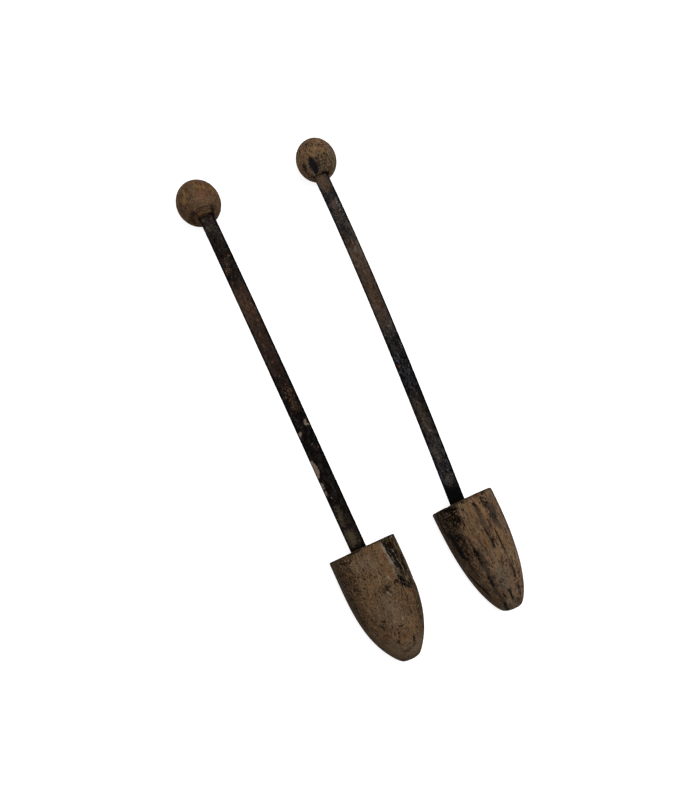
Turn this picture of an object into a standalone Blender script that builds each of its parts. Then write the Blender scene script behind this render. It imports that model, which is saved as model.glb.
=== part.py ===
"""A pair of old shoe trees, lying side by side on their soles.

Each tree is a wooden toe block, a bent strip of spring steel and a turned wooden heel knob.
The strip's two ends are tangs: one sits in a slot sawn in the block, one in a mortise in the knob.
Two nails through the block's sole and one pin through the knob hold the tangs.
Lengths are in metres. Toes point along -Y, knobs along +Y, soles lie on Z = 0.
"""

import math
from types import SimpleNamespace

import bmesh
import bpy
from mathutils import Matrix, Vector

# The toe block, sizes shared by both trees
BLOCK_LENGTH = 0.0690
BLOCK_HEIGHT = 0.031
SOLE_EDGE_ROUND = 0.0022
BACK_EDGE_ROUND = 0.0007
TIP_EDGE_ROUND = 0.0006
SECTION_POWER = 2.2
TOP_LINE_SHARES = SimpleNamespace(tip_share=0.40, first_power=2.6, second_power=1.5)

# The toe block, sizes of each tree
LEFT_BLOCK_WIDTH = 0.0434
RIGHT_BLOCK_WIDTH = 0.0394
LEFT_PLAN_SHARES = SimpleNamespace(tip_share=0.27, first_power=3.75, second_power=1.13)
RIGHT_PLAN_SHARES = SimpleNamespace(tip_share=0.27, first_power=2.55, second_power=1.43)
LEFT_BACK_LEAN = math.radians(0)
RIGHT_BACK_LEAN = math.radians(1.2)

# The spring strip
LEFT_STRIP_WIDTH = 0.0101
RIGHT_STRIP_WIDTH = 0.0097
STRIP_THICKNESS = 0.0016
STRIP_EDGE_ROUND = 0.0004
ENTRY_HEIGHT = 0.014
BLOCK_TANG_DEPTH = 0.027
KNOB_TANG_DEPTH = 0.020
LEFT_STRIP_LENGTH = 0.2319
RIGHT_STRIP_LENGTH = 0.2303
LEFT_ENTRY_OFFSET = 0.0022
RIGHT_ENTRY_OFFSET = 0.0040
LEFT_STRIP_LEAN = math.radians(-0.42)
RIGHT_STRIP_LEAN = math.radians(3.2)
LEFT_RISE_AT_BLOCK = math.radians(8.0)
RIGHT_RISE_AT_BLOCK = math.radians(9.0)
LEFT_RISE_AT_KNOB = math.radians(18.0)
RIGHT_RISE_AT_KNOB = math.radians(12.5)
BEND_SHARES = (0.25, 0.75)

# The heel knob, a spheroid with a small flat where the strip goes in
LEFT_KNOB_RADIUS = 0.0147
RIGHT_KNOB_RADIUS = 0.0136
LEFT_KNOB_HALF_LENGTH = 0.0162
RIGHT_KNOB_HALF_LENGTH = 0.0155
LEFT_KNOB_OFFSET = -0.0008
RIGHT_KNOB_OFFSET = 0.0018
KNOB_FLAT_RADIUS = 0.0050

# The nails in the sole and the pin in the knob
NAIL_LENGTH = 0.0200
NAIL_RADIUS = 0.0011
NAIL_HEAD_RADIUS = 0.0023
NAIL_HEAD_THICKNESS = 0.0008
NAIL_FROM_BACK = 0.0080
NAIL_SPACING = 0.0120
KNOB_PIN_PAST_STRIP = 0.0055
KNOB_PIN_RADIUS = 0.0010
KNOB_PIN_HEAD_RADIUS = 0.0014
KNOB_PIN_HEAD_THICKNESS = 0.0006
PIN_RECESS = 0.0004
PIN_POINT_LENGTH = 0.0025

# How the two trees lie, and how the pieces fit
TREE_SPACING = 0.0674
FIT_CLEARANCE = 0.0003
CUT_OVERRUN = 0.0040

# How finely the round shapes are divided
BLOCK_STATIONS = 24
STATION_POWER = 1.6
DOME_POINTS = 20
CORNER_POINTS = 3
EDGE_ROUND_STATIONS = 3
STRIP_STATIONS = 40
KNOB_PROFILE_POINTS = 20
KNOB_STEPS = 36
PIN_STEPS = 12

SMOOTH_ANGLE = math.radians(35)
SCREW_MERGE_DISTANCE = 0.00001


def left_tree():
    return SimpleNamespace(
        side="left",
        x=0,
        block_width=LEFT_BLOCK_WIDTH,
        plan=LEFT_PLAN_SHARES,
        back_lean=LEFT_BACK_LEAN,
        strip_width=LEFT_STRIP_WIDTH,
        strip_length=LEFT_STRIP_LENGTH,
        entry_offset=LEFT_ENTRY_OFFSET,
        lean=LEFT_STRIP_LEAN,
        rise_at_block=LEFT_RISE_AT_BLOCK,
        rise_at_knob=LEFT_RISE_AT_KNOB,
        knob_radius=LEFT_KNOB_RADIUS,
        knob_half_length=LEFT_KNOB_HALF_LENGTH,
        knob_offset=LEFT_KNOB_OFFSET,
    )


def right_tree():
    return SimpleNamespace(
        side="right",
        x=TREE_SPACING,
        block_width=RIGHT_BLOCK_WIDTH,
        plan=RIGHT_PLAN_SHARES,
        back_lean=RIGHT_BACK_LEAN,
        strip_width=RIGHT_STRIP_WIDTH,
        strip_length=RIGHT_STRIP_LENGTH,
        entry_offset=RIGHT_ENTRY_OFFSET,
        lean=RIGHT_STRIP_LEAN,
        rise_at_block=RIGHT_RISE_AT_BLOCK,
        rise_at_knob=RIGHT_RISE_AT_KNOB,
        knob_radius=RIGHT_KNOB_RADIUS,
        knob_half_length=RIGHT_KNOB_HALF_LENGTH,
        knob_offset=RIGHT_KNOB_OFFSET,
    )


# The run of the strip


def knob_entry_distance(tree):
    """How far the knob's small flat lies from the knob's centre."""
    flat_share = KNOB_FLAT_RADIUS / tree.knob_radius
    return tree.knob_half_length * math.sqrt(1 - flat_share**2)


def knob_centre_height(tree):
    """The height at which the tilted spheroid just touches the floor."""
    across = tree.knob_radius * math.cos(tree.rise_at_knob)
    along = tree.knob_half_length * math.sin(tree.rise_at_knob)
    return math.hypot(across, along)


def strip_height(tree, run):
    """Height and slope of the strip's middle line at a plan distance from the block's back face.

    The tangs are straight. Between them the line is the cubic that has the right height and
    slope at both ends.
    """
    start_slope = math.tan(tree.rise_at_block)
    end_slope = -math.tan(tree.rise_at_knob)
    end_height = knob_centre_height(tree) + knob_entry_distance(tree) * math.sin(tree.rise_at_knob)
    if run <= 0:
        return ENTRY_HEIGHT + run * start_slope, start_slope
    if run >= tree.strip_length:
        return end_height + (run - tree.strip_length) * end_slope, end_slope
    way = run / tree.strip_length
    drop = end_height - ENTRY_HEIGHT
    start_bow = start_slope * tree.strip_length
    end_bow = end_slope * tree.strip_length
    height = (
        ENTRY_HEIGHT
        + drop * way**2 * (3 - 2 * way)
        + start_bow * way * (1 - way) ** 2
        - end_bow * way**2 * (1 - way)
    )
    slope = (
        6 * drop * way * (1 - way)
        + start_bow * (1 - way) * (1 - 3 * way)
        + end_bow * way * (3 * way - 2)
    ) / tree.strip_length
    return height, slope


def strip_frame(tree, run):
    """A matrix on the strip's middle line: X across the strip, Y along it, Z out of its top face."""
    height, slope = strip_height(tree, run)
    pitch = math.atan(slope)
    start = Vector((tree.x - tree.entry_offset, 0, 0))
    place = start + Vector((run * math.sin(tree.lean), run * math.cos(tree.lean), height))
    return Matrix.Translation(place) @ Matrix.Rotation(-tree.lean, 4, "Z") @ Matrix.Rotation(pitch, 4, "X")


def knob_frame(tree):
    """A matrix at the knob's centre, with its Z axis pointing away from the strip.

    The mortise was cut a little to one side, so the centre lies off the strip's line.
    """
    run = tree.strip_length + knob_entry_distance(tree) * math.cos(tree.rise_at_knob)
    aside = Matrix.Translation((tree.knob_offset, 0, 0))
    return strip_frame(tree, run) @ aside @ Matrix.Rotation(math.radians(-90), 4, "X")


# Making objects


def collection_named(name):
    collection = bpy.data.collections.new(name)
    bpy.context.scene.collection.children.link(collection)
    return collection


def material_named(name, color, roughness, metallic):
    material = bpy.data.materials.new(name)
    material.use_nodes = True
    shader = material.node_tree.nodes["Principled BSDF"]
    shader.inputs["Base Color"].default_value = (*color, 1)
    shader.inputs["Roughness"].default_value = roughness
    shader.inputs["Metallic"].default_value = metallic
    material.diffuse_color = (*color, 1)
    return material


def object_from_bmesh(name, bm, collection):
    bmesh.ops.recalc_face_normals(bm, faces=bm.faces)
    mesh = bpy.data.meshes.new(name)
    bm.to_mesh(mesh)
    bm.free()
    mesh.shade_smooth()
    mesh.set_sharp_from_angle(angle=SMOOTH_ANGLE)
    obj = bpy.data.objects.new(name, mesh)
    collection.objects.link(obj)
    return obj


def empty_at(name, place, parent, collection):
    empty = bpy.data.objects.new(name, None)
    collection.objects.link(empty)
    parent_to(empty, parent, Matrix.Translation(place))
    return empty


def parent_to(obj, parent, world):
    """Puts obj at a world matrix and hangs it on its parent."""
    bpy.context.view_layer.update()
    obj.parent = parent
    obj.matrix_parent_inverse = parent.matrix_world.inverted() if parent else Matrix.Identity(4)
    obj.matrix_basis = world


def set_origin(obj, parent, place):
    """Gives an object whose mesh is in the pair's own frame an origin at a place, and a parent."""
    obj.data.transform(Matrix.Translation(-place))
    parent_to(obj, parent, Matrix.Translation(place))


def cut(obj, cutter):
    modifier = obj.modifiers.new("cut_" + cutter.name, "BOOLEAN")
    modifier.operation = "DIFFERENCE"
    modifier.solver = "EXACT"
    modifier.object = cutter


def turned(name, profile, steps, collection):
    """A profile of (radius, height) points, from top to bottom, turned about the object's Z axis."""
    mesh = bpy.data.meshes.new(name)
    edges = [(i, i + 1) for i in range(len(profile) - 1)]
    mesh.from_pydata([(radius, 0, height) for radius, height in profile], edges, [])
    obj = bpy.data.objects.new(name, mesh)
    collection.objects.link(obj)
    screw = obj.modifiers.new("turn", "SCREW")
    screw.axis = "Z"
    screw.steps = steps
    screw.render_steps = steps
    screw.use_merge_vertices = True
    screw.merge_threshold = SCREW_MERGE_DISTANCE
    screw.use_smooth_shade = True
    return obj


# The toe block


def block_share(shares, way):
    """Share of the full width or height, at a share of the way from the tip to the back face."""
    swell = (1 - (1 - way) ** shares.first_power) ** (1 / shares.second_power)
    return shares.tip_share + (1 - shares.tip_share) * swell


def edge_inset(distance, radius):
    """How far a rounded edge draws the section in, at a distance from the end face."""
    if distance >= radius:
        return 0
    return radius - math.sqrt(radius**2 - (radius - distance) ** 2)


def block_stations():
    """Distances from the tip, close together over the rounded edges and the quick swell of the toe."""
    quarter = [math.radians(90) * i / EDGE_ROUND_STATIONS for i in range(EDGE_ROUND_STATIONS)]
    tip = [TIP_EDGE_ROUND * (1 - math.cos(angle)) for angle in quarter]
    back = [BLOCK_LENGTH - BACK_EDGE_ROUND * (1 - math.cos(angle)) for angle in reversed(quarter)]
    body_length = BLOCK_LENGTH - TIP_EDGE_ROUND - BACK_EDGE_ROUND
    ways = [(i / (BLOCK_STATIONS - 1)) ** STATION_POWER for i in range(BLOCK_STATIONS)]
    return tip + [TIP_EDGE_ROUND + body_length * way for way in ways] + back


def block_section(tree, from_tip):
    """One section: a flat sole with rounded edges under a dome, as points running round it."""
    way = from_tip / BLOCK_LENGTH
    inset = max(edge_inset(from_tip, TIP_EDGE_ROUND), edge_inset(BLOCK_LENGTH - from_tip, BACK_EDGE_ROUND))
    half_width = tree.block_width / 2 * block_share(tree.plan, way) - inset
    top = BLOCK_HEIGHT * block_share(TOP_LINE_SHARES, way) - inset
    widest = inset + SOLE_EDGE_ROUND
    points = []
    for i in range(DOME_POINTS + 1):
        angle = math.radians(180) * i / DOME_POINTS
        across = math.copysign(abs(math.cos(angle)) ** (2 / SECTION_POWER), math.cos(angle))
        up = math.sin(angle) ** (2 / SECTION_POWER) if 0 < i < DOME_POINTS else 0
        points.append((half_width * across, widest + (top - widest) * up))
    for side in (-1, 1):
        corner = []
        for i in range(1, CORNER_POINTS + 1):
            angle = math.radians(90) * i / CORNER_POINTS
            out = half_width - SOLE_EDGE_ROUND * (1 - math.cos(angle))
            corner.append((side * out, widest - SOLE_EDGE_ROUND * math.sin(angle)))
        points += corner if side < 0 else reversed(corner)
    y = from_tip - BLOCK_LENGTH
    lean = math.tan(tree.back_lean) * way
    return [Vector((tree.x + across, y + up * lean, up)) for across, up in points]


def toe_block(tree, parts):
    bm = bmesh.new()
    rings = [[bm.verts.new(point) for point in block_section(tree, d)] for d in block_stations()]
    count = len(rings[0])
    for ring, following in zip(rings, rings[1:]):
        for i in range(count):
            j = (i + 1) % count
            bm.faces.new((ring[i], ring[j], following[j], following[i]))
    bm.faces.new(rings[0])
    bm.faces.new(rings[-1])
    return object_from_bmesh(tree.side + "_toe_block", bm, parts)


# The strip, and the slots that its tangs sit in


def bent_bar(name, tree, start, end, width, thickness, edge_round, collection):
    """A straight bar of rectangular section, divided along its length and then laid along the strip's run."""
    bm = bmesh.new()
    bmesh.ops.create_cube(bm, size=1)
    bmesh.ops.scale(bm, vec=(width, end - start, thickness), verts=bm.verts)
    bmesh.ops.translate(bm, vec=(0, (start + end) / 2, 0), verts=bm.verts)
    if edge_round:
        long_edges = [e for e in bm.edges if abs(e.verts[0].co.y - e.verts[1].co.y) > (end - start) / 2]
        bmesh.ops.bevel(bm, geom=long_edges, offset=edge_round, segments=1, affect="EDGES")
    for i in range(1, STRIP_STATIONS):
        here = start + (end - start) * i / STRIP_STATIONS
        geometry = bm.verts[:] + bm.edges[:] + bm.faces[:]
        bmesh.ops.bisect_plane(bm, geom=geometry, plane_co=(0, here, 0), plane_no=(0, 1, 0))
    for vert in bm.verts:
        across, run, up = vert.co
        vert.co = strip_frame(tree, run) @ Vector((across, 0, up))
    return object_from_bmesh(name, bm, collection)


def slot_cutter(name, tree, start, end, cutters):
    wide = tree.strip_width + 2 * FIT_CLEARANCE
    thick = STRIP_THICKNESS + 2 * FIT_CLEARANCE
    return bent_bar(name, tree, start, end, wide, thick, 0, cutters)


def tang_runs(tree):
    """Plan distances at which the strip starts and ends, tangs included."""
    start = -BLOCK_TANG_DEPTH * math.cos(tree.rise_at_block)
    end = tree.strip_length + KNOB_TANG_DEPTH * math.cos(tree.rise_at_knob)
    return start, end


def spring_strip(tree, parts):
    start, end = tang_runs(tree)
    name = tree.side + "_spring_strip"
    return bent_bar(name, tree, start, end, tree.strip_width, STRIP_THICKNESS, STRIP_EDGE_ROUND, parts)


# The knob


def heel_knob(tree, parts):
    """An ellipse turned about its long axis, cut flat at the strip's end."""
    flat_angle = math.pi - math.asin(KNOB_FLAT_RADIUS / tree.knob_radius)
    profile = []
    for i in range(KNOB_PROFILE_POINTS + 1):
        angle = flat_angle * i / KNOB_PROFILE_POINTS
        profile.append((tree.knob_radius * math.sin(angle), tree.knob_half_length * math.cos(angle)))
    profile.append((0, -knob_entry_distance(tree)))
    knob = turned(tree.side + "_heel_knob", profile, KNOB_STEPS, parts)
    knob.matrix_world = knob_frame(tree)
    return knob


# Nails and pins, which stand on their heads with their points up


def pin_profile(length, radius, head_radius, head_thickness):
    return [
        (0, length),
        (radius, length - PIN_POINT_LENGTH),
        (radius, head_thickness),
        (head_radius, head_thickness),
        (head_radius, 0),
        (0, 0),
    ]


def pin_hole_profile(length, radius, head_radius, head_thickness):
    """The pin's own outline with clearance all round, open through the surface under its head."""
    hole = radius + FIT_CLEARANCE
    head_hole = head_radius + FIT_CLEARANCE
    shoulder = head_thickness + FIT_CLEARANCE
    return [
        (0, length + FIT_CLEARANCE),
        (hole, length + FIT_CLEARANCE - PIN_POINT_LENGTH),
        (hole, shoulder),
        (head_hole, shoulder),
        (head_hole, -CUT_OVERRUN),
        (0, -CUT_OVERRUN),
    ]


def pin_and_hole(name, sizes, world, parts, cutters):
    pin = turned(name, pin_profile(*sizes), PIN_STEPS, parts)
    hole = turned(name + "_hole", pin_hole_profile(*sizes), PIN_STEPS, cutters)
    pin.matrix_world = world
    hole.matrix_world = world
    return pin, hole


def sole_nails(tree, parts, cutters):
    """Two nails in a row under the block's tang, driven up through the sole."""
    sizes = (NAIL_LENGTH, NAIL_RADIUS, NAIL_HEAD_RADIUS, NAIL_HEAD_THICKNESS)
    found = []
    for place, run in (("rear", -NAIL_FROM_BACK), ("front", -NAIL_FROM_BACK - NAIL_SPACING)):
        over = strip_frame(tree, run).translation
        world = Matrix.Translation((over.x, over.y, PIN_RECESS))
        found.append(pin_and_hole(f"{tree.side}_toe_nail_{place}", sizes, world, parts, cutters))
    return found


def knob_pin(tree, parts, cutters):
    """One pin through the knob's middle, square to the tang, driven in from below."""
    reach = tree.knob_radius - PIN_RECESS
    sizes = (reach + KNOB_PIN_PAST_STRIP, KNOB_PIN_RADIUS, KNOB_PIN_HEAD_RADIUS, KNOB_PIN_HEAD_THICKNESS)
    back_to_strip = Matrix.Translation((-tree.knob_offset, 0, 0))
    middle = knob_frame(tree) @ back_to_strip @ Matrix.Rotation(math.radians(90), 4, "X")
    world = middle @ Matrix.Translation((0, 0, -reach))
    return pin_and_hole(tree.side + "_knob_pin", sizes, world, parts, cutters)


# One tree


def build_tree(tree, pair, parts, cutters, materials):
    side = tree.side
    start, end = tang_runs(tree)
    block = toe_block(tree, parts)
    strip = spring_strip(tree, parts)
    knob = heel_knob(tree, parts)
    block_slot = slot_cutter(side + "_block_slot", tree, start - FIT_CLEARANCE, CUT_OVERRUN, cutters)
    knob_slot = slot_cutter(
        side + "_knob_slot", tree, tree.strip_length - CUT_OVERRUN, end + FIT_CLEARANCE, cutters
    )
    nails = sole_nails(tree, parts, cutters)
    pin, pin_hole = knob_pin(tree, parts, cutters)

    cut(block, block_slot)
    cut(knob, knob_slot)
    cut(knob, pin_hole)
    cut(strip, pin_hole)
    for nail, nail_hole in nails:
        cut(block, nail_hole)
        cut(strip, nail_hole)

    bends = [strip_frame(tree, tree.strip_length * share).translation for share in BEND_SHARES]
    home = empty_at(side + "_tree", Vector((tree.x, 0, 0)), pair, parts)
    front = empty_at(side + "_front_bend", bends[0], home, parts)
    rear = empty_at(side + "_rear_bend", bends[1], front, parts)
    set_origin(block, home, Vector((tree.x, 0, 0)))
    set_origin(strip, front, bends[0])
    parent_to(knob, rear, knob.matrix_world.copy())
    parent_to(pin, rear, pin.matrix_world.copy())
    for nail, _ in nails:
        parent_to(nail, home, nail.matrix_world.copy())
    for cutter in (block_slot, knob_slot, pin_hole, *[hole for _, hole in nails]):
        parent_to(cutter, home, cutter.matrix_world.copy())
        cutter.hide_render = True
        cutter.display_type = "WIRE"

    block.data.materials.append(materials.block)
    strip.data.materials.append(materials.strip)
    knob.data.materials.append(materials.knob)
    for metal in (pin, *[nail for nail, _ in nails]):
        metal.data.materials.append(materials.nail)
    print(side, "front bend", bends[0], "rear bend", bends[1], "axis", tuple(strip_frame(tree, 0).col[0]))


def centre_on_floor(pair, parts):
    """Moves the pair so that the middle of the floor under its box is the origin."""
    bpy.context.view_layer.update()
    graph = bpy.context.evaluated_depsgraph_get()
    corners = []
    for obj in parts.objects:
        if obj.type == "MESH":
            shown = obj.evaluated_get(graph)
            corners += [shown.matrix_world @ vert.co for vert in shown.data.vertices]
    low = Vector(min(corner[i] for corner in corners) for i in range(3))
    high = Vector(max(corner[i] for corner in corners) for i in range(3))
    pair.location = -Vector(((low.x + high.x) / 2, (low.y + high.y) / 2, low.z))
    print("box", high - low, "moved by", pair.location)


def main():
    for obj in list(bpy.data.objects):
        bpy.data.objects.remove(obj, do_unlink=True)
    parts = collection_named("shoe_trees")
    cutters = collection_named("shoe_trees_cutters")
    cutters.hide_render = True
    pair = bpy.data.objects.new("pair", None)
    parts.objects.link(pair)
    materials = {
        "left": SimpleNamespace(
            block=material_named("left_block_wood", (0.090, 0.055, 0.032), 0.62, 0),
            knob=material_named("left_knob_wood", (0.085, 0.046, 0.026), 0.55, 0),
            strip=material_named("left_strip_steel", (0.020, 0.014, 0.010), 0.50, 0.7),
            nail=material_named("left_nail_steel", (0.045, 0.032, 0.024), 0.60, 0.8),
        ),
        "right": SimpleNamespace(
            block=material_named("right_block_wood", (0.100, 0.064, 0.038), 0.62, 0),
            knob=material_named("right_knob_wood", (0.098, 0.062, 0.036), 0.55, 0),
            strip=material_named("right_strip_steel", (0.026, 0.020, 0.017), 0.50, 0.7),
            nail=material_named("right_nail_steel", (0.045, 0.032, 0.024), 0.60, 0.8),
        ),
    }
    for tree in (left_tree(), right_tree()):
        build_tree(tree, pair, parts, cutters, materials[tree.side])
    centre_on_floor(pair, parts)


main()
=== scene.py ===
# %% [markdown]
# # A pair of old shoe trees
#
# Each tree is a wooden toe block, a bent strip of spring steel and a turned heel knob.
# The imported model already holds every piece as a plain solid, so this lesson only dresses it.
# We load the solids first and keep their box, because nothing that we add may stand outside it.

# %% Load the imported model
import math
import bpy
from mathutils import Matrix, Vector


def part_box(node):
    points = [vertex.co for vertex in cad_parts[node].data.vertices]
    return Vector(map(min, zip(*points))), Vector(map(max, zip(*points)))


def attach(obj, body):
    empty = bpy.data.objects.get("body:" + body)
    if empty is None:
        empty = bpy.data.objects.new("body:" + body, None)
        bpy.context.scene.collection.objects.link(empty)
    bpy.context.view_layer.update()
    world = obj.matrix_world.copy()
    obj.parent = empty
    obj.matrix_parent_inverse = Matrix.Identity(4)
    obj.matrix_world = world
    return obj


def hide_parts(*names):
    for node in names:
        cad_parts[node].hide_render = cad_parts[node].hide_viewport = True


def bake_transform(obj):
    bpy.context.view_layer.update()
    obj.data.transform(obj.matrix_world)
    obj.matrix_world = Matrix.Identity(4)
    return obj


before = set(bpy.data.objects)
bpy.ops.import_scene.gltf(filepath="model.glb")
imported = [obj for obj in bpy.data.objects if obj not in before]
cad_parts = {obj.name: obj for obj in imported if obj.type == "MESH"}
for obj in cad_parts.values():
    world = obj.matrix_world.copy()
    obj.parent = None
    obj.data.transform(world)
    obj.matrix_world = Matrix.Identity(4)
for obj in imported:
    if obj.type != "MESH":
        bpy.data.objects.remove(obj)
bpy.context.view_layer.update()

from types import SimpleNamespace

import bpy
import numpy as np

# %% [markdown]
# ## The pair's measurements
#
# The solids were drawn from a handful of sizes. We repeat them here in metres, so that each fine
# surface is worked out from the same numbers and lands exactly where its solid is. We could
# measure the solids' vertices instead, but a formula gives us as many points as we like.
#
# `swell` holds the plan's three numbers: how wide the tip is as a share of the full width, and two
# powers that say how quickly the block widens behind it. `seed` keeps the random wear of the two
# trees apart.

# %% Sizes of the two trees
BLOCK_LENGTH = 0.0690
BLOCK_HEIGHT = 0.031
SOLE_CORNER = 0.0022
BACK_ROUND = 0.0007
TIP_ROUND = 0.0006
SECTION_POWER = 2.2
TOP_SWELL = (0.40, 2.6, 1.5)
STRIP_THICKNESS = 0.0016
ENTRY_HEIGHT = 0.014
BLOCK_TANG = 0.027
KNOB_TANG = 0.020
KNOB_FLAT = 0.0050
CLEARANCE = 0.0003
NAIL_RUNS = (-0.008, -0.020)

left = SimpleNamespace(
    side="left", seed=0, x=-0.03537, width=0.0434, swell=(0.27, 3.75, 1.13), back_lean=0.0,
    strip_width=0.0101, strip_length=0.2319, entry_offset=0.0022, lean=math.radians(-0.42),
    rise_at_block=math.radians(8.0), rise_at_knob=math.radians(18.0),
    knob_radius=0.0147, knob_half_length=0.0162, knob_offset=-0.0008)
right = SimpleNamespace(
    side="right", seed=10, x=0.03203, width=0.0394, swell=(0.27, 2.55, 1.43),
    back_lean=math.radians(1.2),
    strip_width=0.0097, strip_length=0.2303, entry_offset=0.0040, lean=math.radians(3.2),
    rise_at_block=math.radians(9.0), rise_at_knob=math.radians(12.5),
    knob_radius=0.0136, knob_half_length=0.0155, knob_offset=0.0018)
BACK_Y = -0.09672

for tree in (left, right):
    low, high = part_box(tree.side + "_toe_block")
    print(tree.side, "block is off the sizes by", [round(1000 * v, 3) for v in (
        (low.x + high.x) / 2 - tree.x, low.y - (BACK_Y - BLOCK_LENGTH), high.z - BLOCK_HEIGHT)], "mm")

# %% [markdown]
# ## A noise that we can bend
#
# Old wood and old steel are uneven at every scale. Blender's noise textures live in the shader,
# where they can't move a vertex, so we make our own with numpy. Random numbers sit on the corners
# of a lattice, and each point blends the eight numbers round it. A box that is long in Y gives
# streaks along the grain, and a cube gives blotches.

# %% Lattice noise and a soft step
LATTICE = 32


def lattice_noise(points, cell, seed):
    """Each point finds its box in a lattice whose cells have the given size, one number or three,
    and mixes the random numbers at that box's eight corners, with weights that follow
    3t^2 - 2t^3 of its place along each edge. The lattice repeats after 32 cells."""
    table = np.random.default_rng(seed).random((LATTICE,) * 3)
    scaled = points / np.asarray(cell, float)
    corner = np.floor(scaled).astype(int)
    t = scaled - corner
    t = t * t * (3 - 2 * t)
    total = np.zeros(points.shape[:-1])
    for step in np.ndindex(2, 2, 2):
        weight = np.prod(np.where(step, t, 1 - t), axis=-1)
        x, y, z = np.moveaxis((corner + step) % LATTICE, -1, 0)
        total += weight * table[x, y, z]
    return total


def soft_step(value, low, high):
    """0 below low, 1 above high, and 3t^2 - 2t^3 between them."""
    t = np.clip((value - low) / (high - low), 0, 1)
    return t * t * (3 - 2 * t)


line = np.linspace((0, 0, 0), (0.01, 0, 0), 5)
print("noise over a centimetre:", np.round(lattice_noise(line, 0.004, seed=1), 2))

# %% [markdown]
# ## From rings of points to a mesh
#
# Every piece of a shoe tree can be drawn as a stack of closed rings: round a block, along its
# slot, round a knob. We keep the points in an array with one row a ring, join neighbouring rings
# with quads and close the two ends with fans of triangles. `foreach_set` hands the whole array to
# Blender at once, which is far quicker than adding vertices one by one. The enclosed volume tells
# us which way the faces point: if it is negative, we turn them all round.

# %% Rings to a mesh
SHARP_ANGLE = math.radians(50)


def in_scene(name, data):
    """Puts a mesh, a camera or a lamp into the scene as an object."""
    obj = bpy.data.objects.new(name, data)
    bpy.context.scene.collection.objects.link(obj)
    return obj


def object_from_rings(name, rings, marks):
    """Joins point j of ring i to its neighbours in ring i and ring i + 1 as a quad, and fans the
    first and last rings to their middles. Six times the volume is the sum, over the triangles, of
    a corner times the cross product of the other two. marks holds an array of numbers for each
    name, with one number for each point."""
    count, around, _ = rings.shape
    ends = np.stack([rings[0].mean(0), rings[-1].mean(0)])
    points = np.concatenate([rings.reshape(-1, 3), ends])
    index = np.arange(count * around).reshape(count, around)
    beside = np.roll(index, -1, axis=1)
    quads = np.stack([index[:-1], beside[:-1], beside[1:], index[1:]], -1).reshape(-1, 4)
    first = np.stack([np.full(around, count * around), beside[0], index[0]], -1)
    last = np.stack([np.full(around, count * around + 1), index[-1], beside[-1]], -1)
    triangles = np.concatenate([first, last, quads[:, [0, 1, 2]], quads[:, [0, 2, 3]]])
    volume = np.einsum("ij,ij->i", points[triangles[:, 0]],
                       np.cross(points[triangles[:, 1]], points[triangles[:, 2]])).sum() / 6
    if volume < 0:
        quads, first, last = quads[:, ::-1], first[:, ::-1], last[:, ::-1]
    corners = np.concatenate([quads.ravel(), first.ravel(), last.ravel()]).astype(np.int32)
    sides = np.concatenate([np.full(len(quads), 4), np.full(2 * around, 3)])
    mesh = bpy.data.meshes.new(name)
    mesh.vertices.add(len(points))
    mesh.vertices.foreach_set("co", points.astype(np.float32).ravel())
    mesh.loops.add(len(corners))
    mesh.loops.foreach_set("vertex_index", corners)
    mesh.polygons.add(len(sides))
    mesh.polygons.foreach_set("loop_start", (np.cumsum(sides) - sides).astype(np.int32))
    mesh.update(calc_edges=True)
    for mark, values in marks.items():
        values = np.concatenate([values.ravel(), [values[0].mean(), values[-1].mean()]])
        painted_mark = mesh.attributes.new(mark, "FLOAT", "POINT")
        painted_mark.data.foreach_set("value", values.astype(np.float32))
    mesh.shade_smooth()
    mesh.set_sharp_from_angle(angle=SHARP_ANGLE)
    print(f"{name}: {len(quads) * 2 + 2 * around} triangles, {abs(volume) * 1e6:.2f} cm3")
    return in_scene(name, mesh)


# %% Which way is out
def outward(rings):
    """Unit normals of the grid: the cross product of its two directions, turned to point away from
    the middle line of the rings."""
    along = np.gradient(rings, axis=0)
    round_it = (np.roll(rings, -1, axis=1) - np.roll(rings, 1, axis=1)) / 2
    normal = np.cross(round_it, along)
    normal /= np.linalg.norm(normal, axis=-1, keepdims=True) + 1e-12
    middle = rings.mean(axis=1, keepdims=True)
    body = slice(len(rings) // 3, len(rings) // 2)
    return normal * np.sign((normal * (rings - middle))[body].sum())


turn, step = np.meshgrid(np.radians([0, 90, 180, 270]), np.arange(6.0))
pipe = np.stack([np.cos(turn), np.sin(turn), step], -1)
print("out of a square pipe, at its first ring:", outward(pipe)[0].round(1).tolist())

# %% [markdown]
# ## The line that the strip follows
#
# The steel comes out of the block at a slant, bows gently and goes down into the knob. Between its
# two straight ends the height is a cubic, fixed by the height and the slope at each end. Three unit
# vectors ride along that line: across the strip, along it and out of its upper face. Strips, slots
# and knobs are all placed with them, so they meet as they should.

# %% The strip's line
def knob_entry(tree):
    """The distance from the knob's middle to its small flat, from the equation of an ellipse."""
    return tree.knob_half_length * math.sqrt(1 - (KNOB_FLAT / tree.knob_radius) ** 2)


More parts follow.
